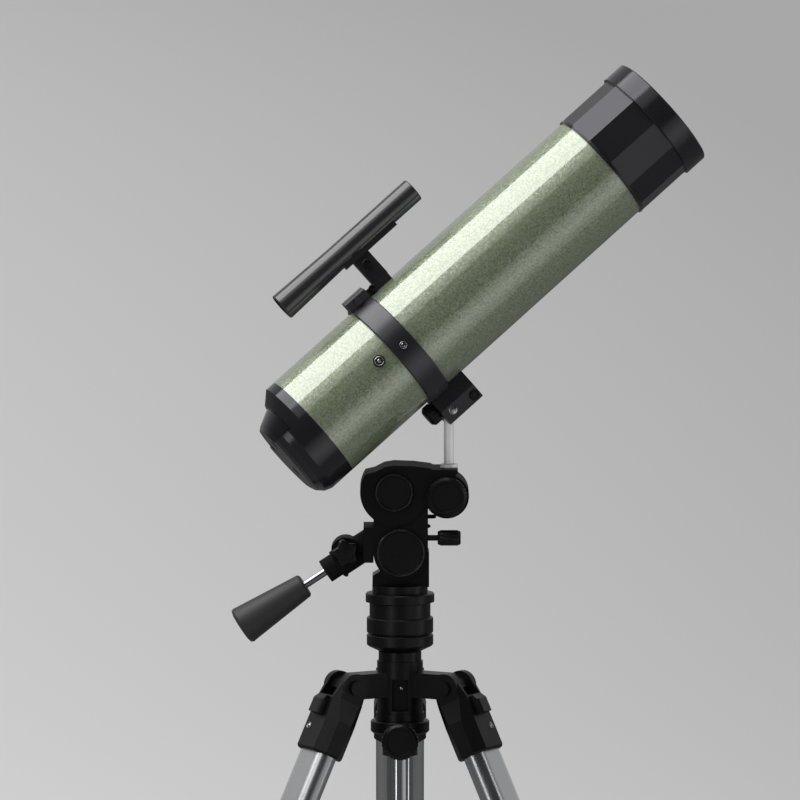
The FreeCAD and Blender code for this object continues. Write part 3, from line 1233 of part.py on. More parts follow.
def make_finder():
    """The small sighting tube on its bracket above the main tube."""
    low, high = "-finder_saddle", "finder_rail_thick - finder_saddle"
    foot = block("finder_foot", ("-tube_radius - finder_foot_thick", "4 - tube_radius"), ("-10", "10"),
                 ("finder_foot_rear", "finder_foot_front"))
    stalk = block("finder_stalk", (f"{high} - 1", "1 - tube_radius - finder_foot_thick"),
                  ("-finder_stalk_half", "finder_stalk_half"), ("finder_stalk_rear", "finder_stalk_front"))
    rail = block("finder_rail", (f"{low} - 3", high), ("-finder_rail_half", "finder_rail_half"),
                 ("finder_foot_rear + 2", "finder_rail_front"))
    bed = cylinder("finder_bed", "finder_radius + seat", "90", x="-finder_above", z="finder_foot_rear - 10")
    over_tube = cylinder("finder_over_tube", "tube_radius + seat", "60", z="finder_foot_rear - 10")
    bracket = cut("finder_bracket", fuse("bracket_whole", foot, stalk, rail), bed, over_tube)
    subpart("finder_bracket", bracket, scope_frame)

    finder_frame = frame("finder_frame", scope_frame, x="-finder_above")
    inner = "finder_radius - finder_wall"
    tube = turned("finder_tube", [
        (inner, "finder_rear"), ("finder_rear_radius - 0.8", "finder_rear"),
        ("finder_rear_radius", "finder_rear + 0.8"), ("finder_radius", "finder_foot_rear + 1"),
        ("finder_radius", "finder_front - 0.8"), ("finder_radius - 0.8", "finder_front"),
        (inner, "finder_front"),
    ])
    subpart("finder_tube", tube, finder_frame)
    lenses = group("finder_lenses",
                   cylinder("finder_eye_lens", f"{inner} - seat", "2.5", z="finder_rear + 3"),
                   cylinder("finder_front_lens", f"{inner} - seat", "3", z="finder_front - 8"))
    subpart("finder_lenses", lenses, finder_frame)


make_hub()
for side, azimuth in LEGS.items():
    make_leg(side, azimuth)
make_leg_bolts()
make_column()
make_head_base()
make_pan_body()
make_tilt_head()
make_handle()
make_mount_post()
make_tube()
make_optics()
make_tube_ring()
make_focuser()
make_finder()
doc.recompute()


def check():
    """Stops on any object that failed to build, and on any node without a sound shape."""
    failed = [o.Label for o in doc.Objects if "Invalid" in o.State or "Error" in o.State]
    if failed:
        raise RuntimeError(f"failed: {failed}")
    unsound = [p.Label for p in subparts if p.Shape.isNull() or not p.Shape.isValid() or not p.Shape.Solids]
    if unsound:
        raise RuntimeError(f"no sound shape: {unsound}")


check()
os.makedirs("parts", exist_ok=True)
for piece in subparts:
    piece.Shape.exportStep(f"parts/{piece.Label}.step")
print(len(subparts), "nodes")
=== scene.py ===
import json
import math

import bpy
import numpy as np
from mathutils import Matrix, Vector


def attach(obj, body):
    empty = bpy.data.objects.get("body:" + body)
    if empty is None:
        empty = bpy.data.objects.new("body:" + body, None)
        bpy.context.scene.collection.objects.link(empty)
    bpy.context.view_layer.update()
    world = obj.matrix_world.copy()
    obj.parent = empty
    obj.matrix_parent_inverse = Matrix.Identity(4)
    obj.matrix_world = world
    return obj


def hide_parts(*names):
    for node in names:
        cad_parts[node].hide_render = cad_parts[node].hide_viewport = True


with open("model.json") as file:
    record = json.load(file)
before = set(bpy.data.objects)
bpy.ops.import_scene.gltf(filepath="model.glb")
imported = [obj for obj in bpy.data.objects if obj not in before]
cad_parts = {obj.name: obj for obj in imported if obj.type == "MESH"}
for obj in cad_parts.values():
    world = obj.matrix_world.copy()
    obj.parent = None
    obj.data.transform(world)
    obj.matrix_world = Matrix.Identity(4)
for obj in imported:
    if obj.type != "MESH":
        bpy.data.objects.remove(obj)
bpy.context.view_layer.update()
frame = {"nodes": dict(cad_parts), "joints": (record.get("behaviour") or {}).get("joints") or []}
nodes = frame["nodes"]
joints = {joint["name"]: joint for joint in frame["joints"]}

# ---------------------------------------------------------------------------------------
# The studio's floor: plain pale paper that runs on past sight, with painted shade: its grey goes in
# a fan about one point well in front, paler to the left and towards the front; polished metal sees
# it painted dark.
FLOOR_HALF = 90.0
FLOOR_IN_MIRRORS = (0.12, 0.12, 0.12, 1)
FAN_POINT = 8.06                # metres in front of the origin
FAN_WEIGHT = -2.6               # for each metre aside per metre from the fan's point
DISTANCE_WEIGHT = -0.010        # for each metre towards the back
FALL_DARKEST, FALL_PALEST = -0.30, 0.15
GREY_DARKEST, GREY_PALEST = 0.60, 0.94


def add(tree, kind, inputs=None, **settings):
    """A shader node of one kind, with its settings and its unlinked input values."""
    node = tree.nodes.new("ShaderNode" + kind)
    for key, value in settings.items():
        setattr(node, key, value)
    for key, value in (inputs or {}).items():
        node.inputs[key].default_value = value
    return node


def join(tree, out, into):
    tree.links.new(out, into)


def new_material(name, **values):
    """A material: its tree and its Principled shader, with the uniform values set on it."""
    made = bpy.data.materials.new(name)
    made.use_nodes = True
    shader = made.node_tree.nodes["Principled BSDF"]
    for key, value in values.items():
        shader.inputs[key.replace("_", " ")].default_value = value
    return made, made.node_tree, shader


floor_mesh = bpy.data.meshes.new("floor")
corners = np.array([[-1, -1, 0], [1, -1, 0], [1, 1, 0], [-1, 1, 0]], float) * FLOOR_HALF
floor_mesh.from_pydata(corners.tolist(), [], [(0, 1, 2, 3)])
floor = bpy.data.objects.new("floor", floor_mesh)
bpy.context.scene.collection.objects.link(floor)

floor_paint, tree, shader = new_material("floor_paint", Roughness=0.9, Specular_IOR_Level=0.1)
rays = add(tree, "LightPath")
# painted reflection: for glossy rays the floor's colour is a dark grey
shade = add(tree, "MixRGB", {"Color2": FLOOR_IN_MIRRORS})
spot = add(tree, "TexCoord")
axes = add(tree, "SeparateXYZ")
reach = add(tree, "Math", {1: FAN_POINT}, operation="ADD")
aside = add(tree, "Math", operation="DIVIDE")
leftward = add(tree, "Math", {1: FAN_WEIGHT}, operation="MULTIPLY")
farther = add(tree, "Math", {1: DISTANCE_WEIGHT}, operation="MULTIPLY")
fall = add(tree, "Math", operation="ADD")
# painted shade: the floor's grey falls from palest to darkest across the fan and towards the back
pale = add(tree, "MapRange", {"From Min": FALL_DARKEST, "From Max": FALL_PALEST,
                              "To Min": GREY_DARKEST, "To Max": GREY_PALEST})
join(tree, spot.outputs["Object"], axes.inputs["Vector"])
join(tree, axes.outputs["Y"], reach.inputs[0])
join(tree, axes.outputs["X"], aside.inputs[0])
join(tree, reach.outputs["Value"], aside.inputs[1])
join(tree, aside.outputs["Value"], leftward.inputs[0])
join(tree, axes.outputs["Y"], farther.inputs[0])
join(tree, leftward.outputs["Value"], fall.inputs[0])
join(tree, farther.outputs["Value"], fall.inputs[1])
join(tree, fall.outputs["Value"], pale.inputs["Value"])
join(tree, pale.outputs["Result"], shade.inputs["Color1"])
join(tree, rays.outputs["Is Glossy Ray"], shade.inputs["Fac"])
join(tree, shade.outputs["Color"], shader.inputs["Base Color"])
floor_mesh.materials.append(floor_paint)

# ---------------------------------------------------------------------------------------
# The studio's air: grey paper light all round, which the floor and matt surfaces take. What
# gloss and metal mirror is a room that is dark in front and pale behind the object.
PAPER_GREY = (0.71, 0.71, 0.71, 1)
ROOM_DARK, ROOM_PALE = 0.02, 0.46
TURN_DARK, TURN_PALE = -0.15, 0.75      # how far a ray points to the back, from -1 to 1

world = bpy.data.worlds.new("studio")
bpy.context.scene.world = world
world.use_nodes = True
tree = world.node_tree
tree.nodes.clear()
out = add(tree, "OutputWorld")
light = add(tree, "Background", {"Strength": 1.0})
rays = add(tree, "LightPath")
ways = add(tree, "TexCoord")
parts = add(tree, "SeparateXYZ")
behind = add(tree, "MapRange", {"From Min": TURN_DARK, "From Max": TURN_PALE,
                                "To Min": ROOM_DARK, "To Max": ROOM_PALE},
             interpolation_type="SMOOTHSTEP")
mix = add(tree, "MixRGB", {"Color2": PAPER_GREY})
both = add(tree, "Math", operation="MAXIMUM")
join(tree, ways.outputs["Generated"], parts.inputs["Vector"])
join(tree, parts.outputs["Y"], behind.inputs["Value"])
join(tree, rays.outputs["Is Camera Ray"], both.inputs[0])
join(tree, rays.outputs["Is Diffuse Ray"], both.inputs[1])
join(tree, both.outputs["Value"], mix.inputs["Fac"])
join(tree, behind.outputs["Result"], mix.inputs["Color1"])
join(tree, mix.outputs["Color"], light.inputs["Color"])
join(tree, light.outputs["Background"], out.inputs["Surface"])

# ---------------------------------------------------------------------------------------
# The lamps: one long softbox over the tube, weak soft ones low on the right and in front that
# shade its two bands off, and two slim ones beside the tripod for the metal.
TUBE_MIDDLE, TRIPOD_MIDDLE = (0.10, 0.02, 1.21), (0.0, 0.0, 0.80)
ALONG_TUBE = (0.83, 0.0, 0.56)
NARROW_BEAM = 60.0


def softbox(name, aim, towards, distance, wide_along, wide, tall, radiance, spread=180.0):
    """A rectangular light at a distance from the point it aims at, wide along one direction."""
    away = Vector(towards).normalized()
    wide_way = (Vector(wide_along) - Vector(wide_along).dot(away) * away).normalized()
    lamp = bpy.data.lights.new(name, "AREA")
    lamp.shape = "RECTANGLE"
    lamp.size, lamp.size_y = wide, tall
    lamp.spread = math.radians(spread)
    lamp.energy = radiance * math.pi * wide * tall
    held = bpy.data.objects.new(name, lamp)
    turn = Matrix((wide_way, away.cross(wide_way), away)).transposed()
    held.matrix_world = Matrix.Translation(Vector(aim) + away * distance) @ turn.to_4x4()
    held.visible_camera = False
    bpy.context.scene.collection.objects.link(held)


softbox("softbox_key", TUBE_MIDDLE, (-0.540, -0.095, 0.836), distance=1.7,
        wide_along=ALONG_TUBE, wide=2.6, tall=1.72, radiance=3.5)
softbox("softbox_low", TUBE_MIDDLE, (0.60, -0.70, -0.38), distance=1.6,
        wide_along=(0.75, 0.15, 0.65), wide=1.5, tall=1.50, radiance=0.075, spread=NARROW_BEAM)
softbox("softbox_front", TUBE_MIDDLE, (-0.43, -0.64, 0.64), distance=1.6,
        wide_along=ALONG_TUBE, wide=2.4, tall=1.0, radiance=0.09, spread=NARROW_BEAM)
softbox("softbox_left", TRIPOD_MIDDLE, (-0.55, -0.83, 0.10), distance=1.8,
        wide_along=(0.83, -0.55, 0.0), wide=0.30, tall=1.5, radiance=1.8)
softbox("softbox_right", TRIPOD_MIDDLE, (0.95, -0.20, 0.10), distance=1.8,
        wide_along=(0.2, 0.95, 0.0), wide=0.45, tall=1.5, radiance=1.3)

# ---------------------------------------------------------------------------------------
# The camera: a long lens eight metres in front of the column and a little above the tube,
# turned slightly down.
LENS_MM, SENSOR_MM = 405.0, 36.0
CAMERA_SPOT = (0.0, -8.063, 1.7937)
CAMERA_DOWN = 5.458             # degrees below level
NEAREST, FARTHEST = 0.5, 400.0

lens = bpy.data.cameras.new("camera")
lens.lens, lens.sensor_width = LENS_MM, SENSOR_MM
lens.clip_start, lens.clip_end = NEAREST, FARTHEST
camera = bpy.data.objects.new("camera", lens)
camera.location = CAMERA_SPOT
camera.rotation_euler = (math.radians(90.0 - CAMERA_DOWN), 0.0, 0.0)
bpy.context.scene.collection.objects.link(camera)
bpy.context.scene.camera = camera
bpy.context.scene.view_settings.view_transform = "Standard"

# ---------------------------------------------------------------------------------------
# The main tube: a rolled steel tube sprayed with a green-grey lacquer full of fine metal
# flake, under a clear gloss coat that mirrors the lights as crisp bands.
FLAKE_PER_M, FLAKE_LEAN = 780.0, 0.24
CLOUD_PER_M = 640.0
FLAKE_SHARE, CLOUD_SHARE = 0.42, 0.60
GREEN_DEEP, GREEN_PALE = (0.118, 0.148, 0.084, 1), (0.275, 0.315, 0.218, 1)
DEEP_UP_TO, PALE_FROM = 0.25, 0.82


def object_point(tree):
    return add(tree, "TexCoord").outputs["Object"]


def dress(material, *names):
    """Puts one material on CAD nodes, whose shapes stay as they are."""
    for name in names:
        for slot in nodes[name].material_slots:
            slot.material = material


lacquer, tree, shader = new_material(
    "flake_lacquer", Metallic=0.50, Roughness=0.37,
    Coat_Weight=1.0, Coat_Roughness=0.06, Coat_IOR=2.0)
point = object_point(tree)
flake = add(tree, "TexVoronoi", {"Scale": FLAKE_PER_M, "Randomness": 1.0}, feature="F1")
cloud = add(tree, "TexNoise", {"Scale": CLOUD_PER_M, "Detail": 3.0, "Roughness": 0.7})
join(tree, point, flake.inputs["Vector"])
join(tree, point, cloud.inputs["Vector"])

# each flake leans its own way: the normal plus a small vector out of the flake's random colour
lean = add(tree, "VectorMath", {1: (0.5, 0.5, 0.5)}, operation="SUBTRACT")
small = add(tree, "VectorMath", {"Scale": FLAKE_LEAN}, operation="SCALE")
facing = add(tree, "NewGeometry")
leaned = add(tree, "VectorMath", operation="ADD")
unit = add(tree, "VectorMath", operation="NORMALIZE")
join(tree, flake.outputs["Color"], lean.inputs[0])
join(tree, lean.outputs["Vector"], small.inputs[0])
join(tree, small.outputs["Vector"], leaned.inputs[0])
join(tree, facing.outputs["Normal"], leaned.inputs[1])
join(tree, leaned.outputs["Vector"], unit.inputs[0])
join(tree, unit.outputs["Vector"], shader.inputs["Normal"])

# the colour runs from deep to pale by flake and by cloud
grain = add(tree, "SeparateColor")
speck = add(tree, "Math", {1: FLAKE_SHARE}, operation="MULTIPLY")
drift = add(tree, "Math", {1: CLOUD_SHARE}, operation="MULTIPLY")
blend = add(tree, "Math", operation="ADD")
tint = add(tree, "ValToRGB")
deep_end, pale_end = tint.color_ramp.elements[0], tint.color_ramp.elements[1]
deep_end.position, deep_end.color = DEEP_UP_TO, GREEN_DEEP
pale_end.position, pale_end.color = PALE_FROM, GREEN_PALE
join(tree, flake.outputs["Color"], grain.inputs["Color"])
join(tree, grain.outputs["Red"], speck.inputs[0])
join(tree, cloud.outputs["Fac"], drift.inputs[0])
join(tree, speck.outputs["Value"], blend.inputs[0])
join(tree, drift.outputs["Value"], blend.inputs[1])
join(tree, blend.outputs["Value"], tint.inputs["Fac"])
join(tree, tint.outputs["Color"], shader.inputs["Base Color"])
dress(lacquer, "main_tube")

# ---------------------------------------------------------------------------------------
# The front and rear cells: black ABS mouldings pressed into the tube's ends, polished, with
# the slight waviness of moulded flats and faint rub marks.
def new_group(name, sockets_in, sockets_out):
    """An empty shader node group with named inputs and outputs."""
    made = bpy.data.node_groups.new(name, "ShaderNodeTree")
    for label, kind, value in sockets_in:
        socket = made.interface.new_socket(
            name=label, in_out="INPUT", socket_type="NodeSocket" + kind)
        if value is not None:
            socket.default_value = value
    for label, kind in sockets_out:
        made.interface.new_socket(name=label, in_out="OUTPUT", socket_type="NodeSocket" + kind)
    return made, made.nodes.new("NodeGroupInput"), made.nodes.new("NodeGroupOutput")


def use_group(tree, group, **values):
    node = tree.nodes.new("ShaderNodeGroup")
    node.node_tree = group
    for key, value in values.items():
        node.inputs[key].default_value = value
    return node


# rub marks: broad noise, with short fine streaks over it, between two values of roughness
RUBS_PER_M, STREAKS_PER_M, STREAK_SHARE = 26.0, 420.0, 0.35
rub_marks, given, made = new_group(
    "rub_marks", [("Vector", "Vector", None), ("Low", "Float", 0.2), ("High", "Float", 0.4)],
    [("Roughness", "Float")])
broad = add(rub_marks, "TexNoise", {"Scale": RUBS_PER_M, "Detail": 5.0, "Roughness": 0.6})
streaks = add(rub_marks, "TexNoise", {"Scale": STREAKS_PER_M, "Detail": 2.0, "Distortion": 1.5})
weigh = add(rub_marks, "Math", {1: STREAK_SHARE}, operation="MULTIPLY")
total = add(rub_marks, "Math", operation="ADD")
ranged = add(rub_marks, "MapRange", {"From Min": 0.35, "From Max": 0.95})
join(rub_marks, given.outputs["Vector"], broad.inputs["Vector"])
join(rub_marks, given.outputs["Vector"], streaks.inputs["Vector"])
join(rub_marks, streaks.outputs["Fac"], weigh.inputs[0])
join(rub_marks, broad.outputs["Fac"], total.inputs[0])
join(rub_marks, weigh.outputs["Value"], total.inputs[1])
join(rub_marks, total.outputs["Value"], ranged.inputs["Value"])
join(rub_marks, given.outputs["Low"], ranged.inputs["To Min"])
join(rub_marks, given.outputs["High"], ranged.inputs["To Max"])
join(rub_marks, ranged.outputs["Result"], made.inputs["Roughness"])

# grain: a height of fine cells mixed with a slow swell, and the cells alone as a mask
grain_height, given, made = new_group(
    "grain_height", [("Vector", "Vector", None), ("Fine", "Float", 2000.0),
                     ("Swell", "Float", 60.0), ("Share", "Float", 0.5)],
    [("Height", "Float"), ("Mask", "Float")])
fine = add(grain_height, "TexNoise", {"Detail": 3.0, "Roughness": 0.65})
swell = add(grain_height, "TexNoise", {"Detail": 1.0})
mixed = add(grain_height, "Mix", data_type="FLOAT")
join(grain_height, given.outputs["Vector"], fine.inputs["Vector"])
join(grain_height, given.outputs["Vector"], swell.inputs["Vector"])
join(grain_height, given.outputs["Fine"], fine.inputs["Scale"])
join(grain_height, given.outputs["Swell"], swell.inputs["Scale"])
join(grain_height, given.outputs["Share"], mixed.inputs[0])
join(grain_height, fine.outputs["Fac"], mixed.inputs[2])
join(grain_height, swell.outputs["Fac"], mixed.inputs[3])
join(grain_height, mixed.outputs[0], made.inputs["Height"])
join(grain_height, fine.outputs["Fac"], made.inputs["Mask"])


def grained(name, dark, pale, low, high, fine, swell=60.0, share=0.5, depth=0.0, strength=1.0,
            **values):
    """A finish with grain: two close shades by the cells of the grain (fine, per metre), a
    roughness rubbed between low and high, and, if it has a depth in metres, a bump of the cells
    with a share of the slower swell."""
    made, tree, shader = new_material(name, **values)
    point = object_point(tree)
    rubbed = use_group(tree, rub_marks, Low=low, High=high)
    cells = use_group(tree, grain_height, Fine=fine, Swell=swell, Share=share)
    shades = add(tree, "MixRGB", {"Color1": (*dark, 1), "Color2": (*pale, 1)})
    join(tree, point, rubbed.inputs["Vector"])
    join(tree, point, cells.inputs["Vector"])
    join(tree, rubbed.outputs["Roughness"], shader.inputs["Roughness"])
    join(tree, cells.outputs["Mask"], shades.inputs["Fac"])
    join(tree, shades.outputs["Color"], shader.inputs["Base Color"])
    if depth > 0:
        bump = add(tree, "Bump", {"Strength": strength, "Distance": depth})
        join(tree, cells.outputs["Height"], bump.inputs["Height"])
        join(tree, bump.outputs["Normal"], shader.inputs["Normal"])
    return made


cell_gloss = grained(
    "cell_gloss", dark=(0.006, 0.006, 0.007), pale=(0.012, 0.012, 0.013), low=0.10, high=0.17,
    fine=900.0, swell=22.0, share=0.92, depth=0.00035,
    Specular_IOR_Level=0.55, Specular_Tint=(0.93, 0.92, 1.0, 1))
dress(cell_gloss, "front_cell", "rear_cell")

# ---------------------------------------------------------------------------------------
# The ring round the tube with its fasteners, the shoe under it, the bracket of the sighting
# tube, the focuser's body and the eyepiece's: castings and turnings in satin black enamel,
# with the soft orange peel of sprayed paint.
enamel = grained(
    "satin_enamel", dark=(0.007, 0.007, 0.008), pale=(0.013, 0.013, 0.014), low=0.24, high=0.34,
    fine=1400.0, swell=130.0, share=0.5, depth=0.00006,
    Specular_IOR_Level=0.8, Specular_Tint=(0.95, 0.94, 1.0, 1))
dress(enamel, "tube_ring", "tube_fasteners", "mounting_shoe", "finder_bracket", "focuser_body",
      "eyepiece_body")

# ---------------------------------------------------------------------------------------
# Screws: turned steel, zinc plated bright, with fine turning marks. The three behind the rear
# cell push and pull the mirror's plate.
steel_bright = grained(
    "steel_bright", dark=(0.50, 0.50, 0.51), pale=(0.70, 0.70, 0.70), low=0.16, high=0.34,
    fine=5200.0, swell=400.0, share=0.3, depth=0.00003, strength=0.6,
    Metallic=1.0, Anisotropic=0.3)
dress(steel_bright, "collimation_screws")

# ---------------------------------------------------------------------------------------
# The pan body, the hub, its collar and bolts, and the leg shoulders and clamps: die-cast
# alloy with a fine satin black powder coat. The tilting head and the handle's arm have a
# flatter, drier coat of the same powder.
SIDES = ("left", "right", "back")
powder = grained(
    "powder_coat", dark=(0.0015,) * 3, pale=(0.0045,) * 3, low=0.28, high=0.42,
    fine=2600.0, swell=70.0, share=0.35, depth=0.00008, Specular_IOR_Level=0.30)
dress(powder, "hub", "column_collar", "head_base", "pan_body", "leg_bolts",
      *[f"{part}_{side}" for part in ("shoulder", "leg_clamp") for side in SIDES])

flat_coat = grained(
    "flat_coat", dark=(0.003,) * 3, pale=(0.008,) * 3, low=0.50, high=0.62,
    fine=2600.0, swell=70.0, share=0.35, depth=0.00008, Specular_IOR_Level=0.06)
dress(flat_coat, "tilt_head", "handle_arm")

# ---------------------------------------------------------------------------------------
# Knobs, covers, levers and latches: injection-moulded black plastic with a light spark
# texture, pressed or screwed onto their shafts.
moulded = grained(
    "moulded_black", dark=(0.002,) * 3, pale=(0.006,) * 3, low=0.24, high=0.36,
    fine=1900.0, swell=90.0, share=0.3, depth=0.00007, Specular_IOR_Level=0.34)
dress(moulded, "head_covers", "plate_knob", "tilt_lock_knob", "handle_clamp_knob",
      "column_knob", "column_cap", "shoe_clamp_knob", "focus_knobs",
      *[f"{part}_{side}" for part in ("angle_latch", "clamp_lever") for side in SIDES])

# ---------------------------------------------------------------------------------------
# The handle's tapered grip and the three feet: black rubber, moulded and pushed on, matt
# with a faint bloom.
rubber = grained(
    "grip_rubber", dark=(0.013, 0.013, 0.014), pale=(0.026, 0.026, 0.028), low=0.42, high=0.58,
    fine=1500.0, swell=60.0, share=0.25, depth=0.00012, Specular_IOR_Level=0.45)
dress(rubber, "handle_grip", *[f"foot_{side}" for side in SIDES])

# ---------------------------------------------------------------------------------------
# The finder: a straight sighting tube of drawn aluminium, turned at its rear end and
# anodised gloss black.
anodised = grained(
    "anodised_black", dark=(0.012, 0.012, 0.013), pale=(0.018, 0.018, 0.020), low=0.16, high=0.26,
    fine=1600.0, swell=50.0, share=0.6, depth=0.00003, Specular_IOR_Level=1.0)
dress(anodised, "finder_tube")


# ---------------------------------------------------------------------------------------
# Polished metal: the chromed column, handle rod, drawtube, axle and shaft, the satin chrome
# post, and the aluminium legs, which keep the faint lengthwise lines of drawing.
CHROME_LINES, CHROME_SLOW = 900, 12
LEG_LINES, LEG_SLOW = 1100, 9


def drawn_metal(name, dark, pale, low, high, turn=(0, 0, 0), lines=CHROME_LINES,
                slow=CHROME_SLOW, metallic=1.0):
    """A metal with fine lines along one direction: noise on a point that is turned so that the
    direction is Z, then scaled by lines across it and by the much smaller slow along it."""
    made, tree, shader = new_material(name, Metallic=metallic)
    point = object_point(tree)
    laid = add(tree, "Mapping", {"Rotation": turn, "Scale": (lines, lines, slow)})
    drawn = add(tree, "TexNoise", {"Scale": 1.0, "Detail": 4.0, "Roughness": 0.7})
    rubbed = use_group(tree, rub_marks, Low=low, High=high)
    shades = add(tree, "MixRGB", {"Color1": (*dark, 1), "Color2": (*pale, 1)})
    bump = add(tree, "Bump", {"Strength": 0.5, "Distance": 0.00002})
    join(tree, point, laid.inputs["Vector"])
    join(tree, laid.outputs["Vector"], drawn.inputs["Vector"])
    join(tree, point, rubbed.inputs["Vector"])
    join(tree, rubbed.outputs["Roughness"], shader.inputs["Roughness"])
    join(tree, drawn.outputs["Fac"], shades.inputs["Fac"])
    join(tree, shades.outputs["Color"], shader.inputs["Base Color"])
    join(tree, drawn.outputs["Fac"], bump.inputs["Height"])
    join(tree, bump.outputs["Normal"], shader.inputs["Normal"])
    return made


chrome = drawn_metal("chrome", dark=(0.52, 0.53, 0.55), pale=(0.66, 0.67, 0.69),
                     low=0.05, high=0.13)
dress(chrome, "column_tube", "handle_rod", "drawtube", "tilt_axle", "focus_shaft")
pearl = drawn_metal("pearl_chrome", dark=(0.70, 0.70, 0.71), pale=(0.80, 0.80, 0.81),
                    low=0.38, high=0.50, metallic=0.35)
dress(pearl, "mount_post")
for side in SIDES:
    down = Vector(joints[f"leg_slide_{side}"]["axis"])
    turn = down.rotation_difference(Vector((0, 0, 1))).to_euler()
    metal = drawn_metal(f"leg_metal_{side}", dark=(0.60, 0.61, 0.62), pale=(0.80, 0.81, 0.82),
                        low=0.25, high=0.34, turn=tuple(turn),
                        lines=LEG_LINES, slow=LEG_SLOW)
    dress(metal, f"upper_tube_{side}", f"lower_tube_{side}")

# ---------------------------------------------------------------------------------------
# The optics: silvered glass mirrors, lenses with a violet coating, and flat optical black
# paint on the plate and the spider that hold the mirrors.
silvering = grained("silvering", dark=(0.90, 0.91, 0.92), pale=(0.95, 0.95, 0.95),
                    low=0.0, high=0.03, fine=3000.0, Metallic=1.0)
dress(silvering, "primary_mirror", "diagonal_mirror")

coated = grained("coated_glass", dark=(0.80, 0.86, 0.90), pale=(0.90, 0.93, 0.95),
                 low=0.0, high=0.04, fine=800.0, Transmission_Weight=1.0, IOR=1.52,
                 Coat_Weight=0.4, Coat_Tint=(0.72, 0.62, 0.95, 1))
dress(coated, "finder_lenses", "eyepiece_lenses")

flat_black = grained("flat_black", dark=(0.008,) * 3, pale=(0.016,) * 3, low=0.75, high=0.9,
                     fine=2200.0, swell=80.0, share=0.2, depth=0.0001, Specular_IOR_Level=0.3)
dress(flat_black, "mirror_plate", "spider")

# ---------------------------------------------------------------------------------------
# Screws on the telescope: a domed screw in the bright ring of the tube's side fitting, the
# cross-headed screw of the clamp ring, the pivot pin's two caps, and the shoe's two knurled
# screws. They are put out from the tube's axis, at distances in mm along it.
MM = 0.001
optical = -np.array(joints["shoe_clamp_knob"]["axis"], float)
pivot = np.array(joints["altitude"]["pos_m"], float) / MM
across = np.array(joints["altitude"]["axis"], float)
under = np.cross(across, optical)
PIVOT_UNDER, PIVOT_ALONG = 71.6, 103.7
tube_start = pivot - PIVOT_UNDER * under - PIVOT_ALONG * optical


def around_tube(along, turn, out):
    """A point and its outward direction: out from the axis, turned in degrees from straight under
    towards the far side, at a distance along from the tube's rear edge."""
    way = math.cos(math.radians(turn)) * under + math.sin(math.radians(turn)) * across
    return tube_start + along * optical + out * way, way


def turned(profile, sides=48, ribs=0, rib_depth=0.0, cross_wide=0.0, cross_reach=0.0,
           cross_deep=0.0):
    """A surface turned about Z. Each corner (r, h) of the profile goes to (r cos t, r sin t, h);
    ribs change r by rib_depth cos(ribs t), as far as the corner's third value says; a
    cross-shaped recess lowers h by cross_deep where x or y is within cross_wide and r is within
    cross_reach."""
    rows = np.array([(*corner, 0.0)[:3] for corner in profile], float)
    t = np.linspace(0, 2 * np.pi, sides, endpoint=False)
    r = rows[:, :1] + rows[:, 2:] * rib_depth * np.cos(ribs * t)
    x, y = r * np.cos(t), r * np.sin(t)
    in_cross = (np.minimum(abs(x), abs(y)) < cross_wide) & (np.hypot(x, y) < cross_reach)
    h = rows[:, 1:2] - cross_deep * in_cross
    return np.stack([x, y, h], axis=2)


def stood(grid, point, way):
    """A grid made about Z, moved so that its Z looks along way from the point."""
    z = np.array(way, float) / np.linalg.norm(way)
    side = np.cross(z, (0.0, 0.0, 1.0) if abs(z[2]) < 0.9 else (1.0, 0.0, 0.0))
    x = side / np.linalg.norm(side)
    return np.array(point) + grid[..., :1] * x + grid[..., 1:2] * np.cross(z, x) + grid[..., 2:] * z


def piece(name, grids, material, body, sharp=35.0):
    """An object from grids in mm, each closed round its rows and at its ends. Neighbours in a
    grid are joined by triangles; points that coincide become one, and faces look outwards."""
    points, faces, start = [], [], 0
    for grid in grids:
        n, m = grid.shape[:2]
        index = np.arange(n * m).reshape(n, m)
        a, b = index[:-1], index[1:]
        c, d = np.roll(b, -1, 1), np.roll(a, -1, 1)
        halves = np.concatenate([np.stack([a, b, c], 2), np.stack([a, c, d], 2)]).reshape(-1, 3)
        spots, same = np.unique(np.round(grid.reshape(-1, 3), 4), axis=0, return_inverse=True)
        tris = same.reshape(-1)[halves]
        tris = tris[(tris[:, 0] != tris[:, 1]) & (tris[:, 1] != tris[:, 2])
                    & (tris[:, 0] != tris[:, 2])]
        p, q, r = (spots[tris[:, k]] - spots.mean(0) for k in range(3))
        if np.einsum("ij,ij->", p, np.cross(q, r)) < 0:
            tris = tris[:, ::-1]
        points.append(spots)
        faces.append(tris + start)
        start += len(spots)
    mesh = bpy.data.meshes.new(name)
    mesh.from_pydata((np.concatenate(points) * MM).tolist(), [], np.concatenate(faces).tolist())
    mesh.polygons.foreach_set("use_smooth", np.ones(len(mesh.polygons), bool))
    mesh.set_sharp_from_angle(angle=math.radians(sharp))
    mesh.materials.append(material)
    made = bpy.data.objects.new(name, mesh)
    bpy.context.scene.collection.objects.link(made)
    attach(made, body)
    return made


def hoop(radius, thick, height, steps=12):
    """The profile of a closed round hoop: a circle of radius thick about (radius, height)."""
    t = np.linspace(0, 2 * np.pi, steps + 1)
    return np.column_stack([radius + thick * np.cos(t), height + thick * np.sin(t)])


def dome(radius, rise, base=-0.6, steps=14):
    """The profile of a screw's head: up its side from the base, then a quarter of an oval, the
    radius wide and rise high, to the middle."""
    t = np.linspace(0, np.pi / 2, steps)
    arc = np.column_stack([radius * np.cos(t), rise * np.sin(t)])
    return np.vstack([[(0.0, base), (radius, base)], arc])


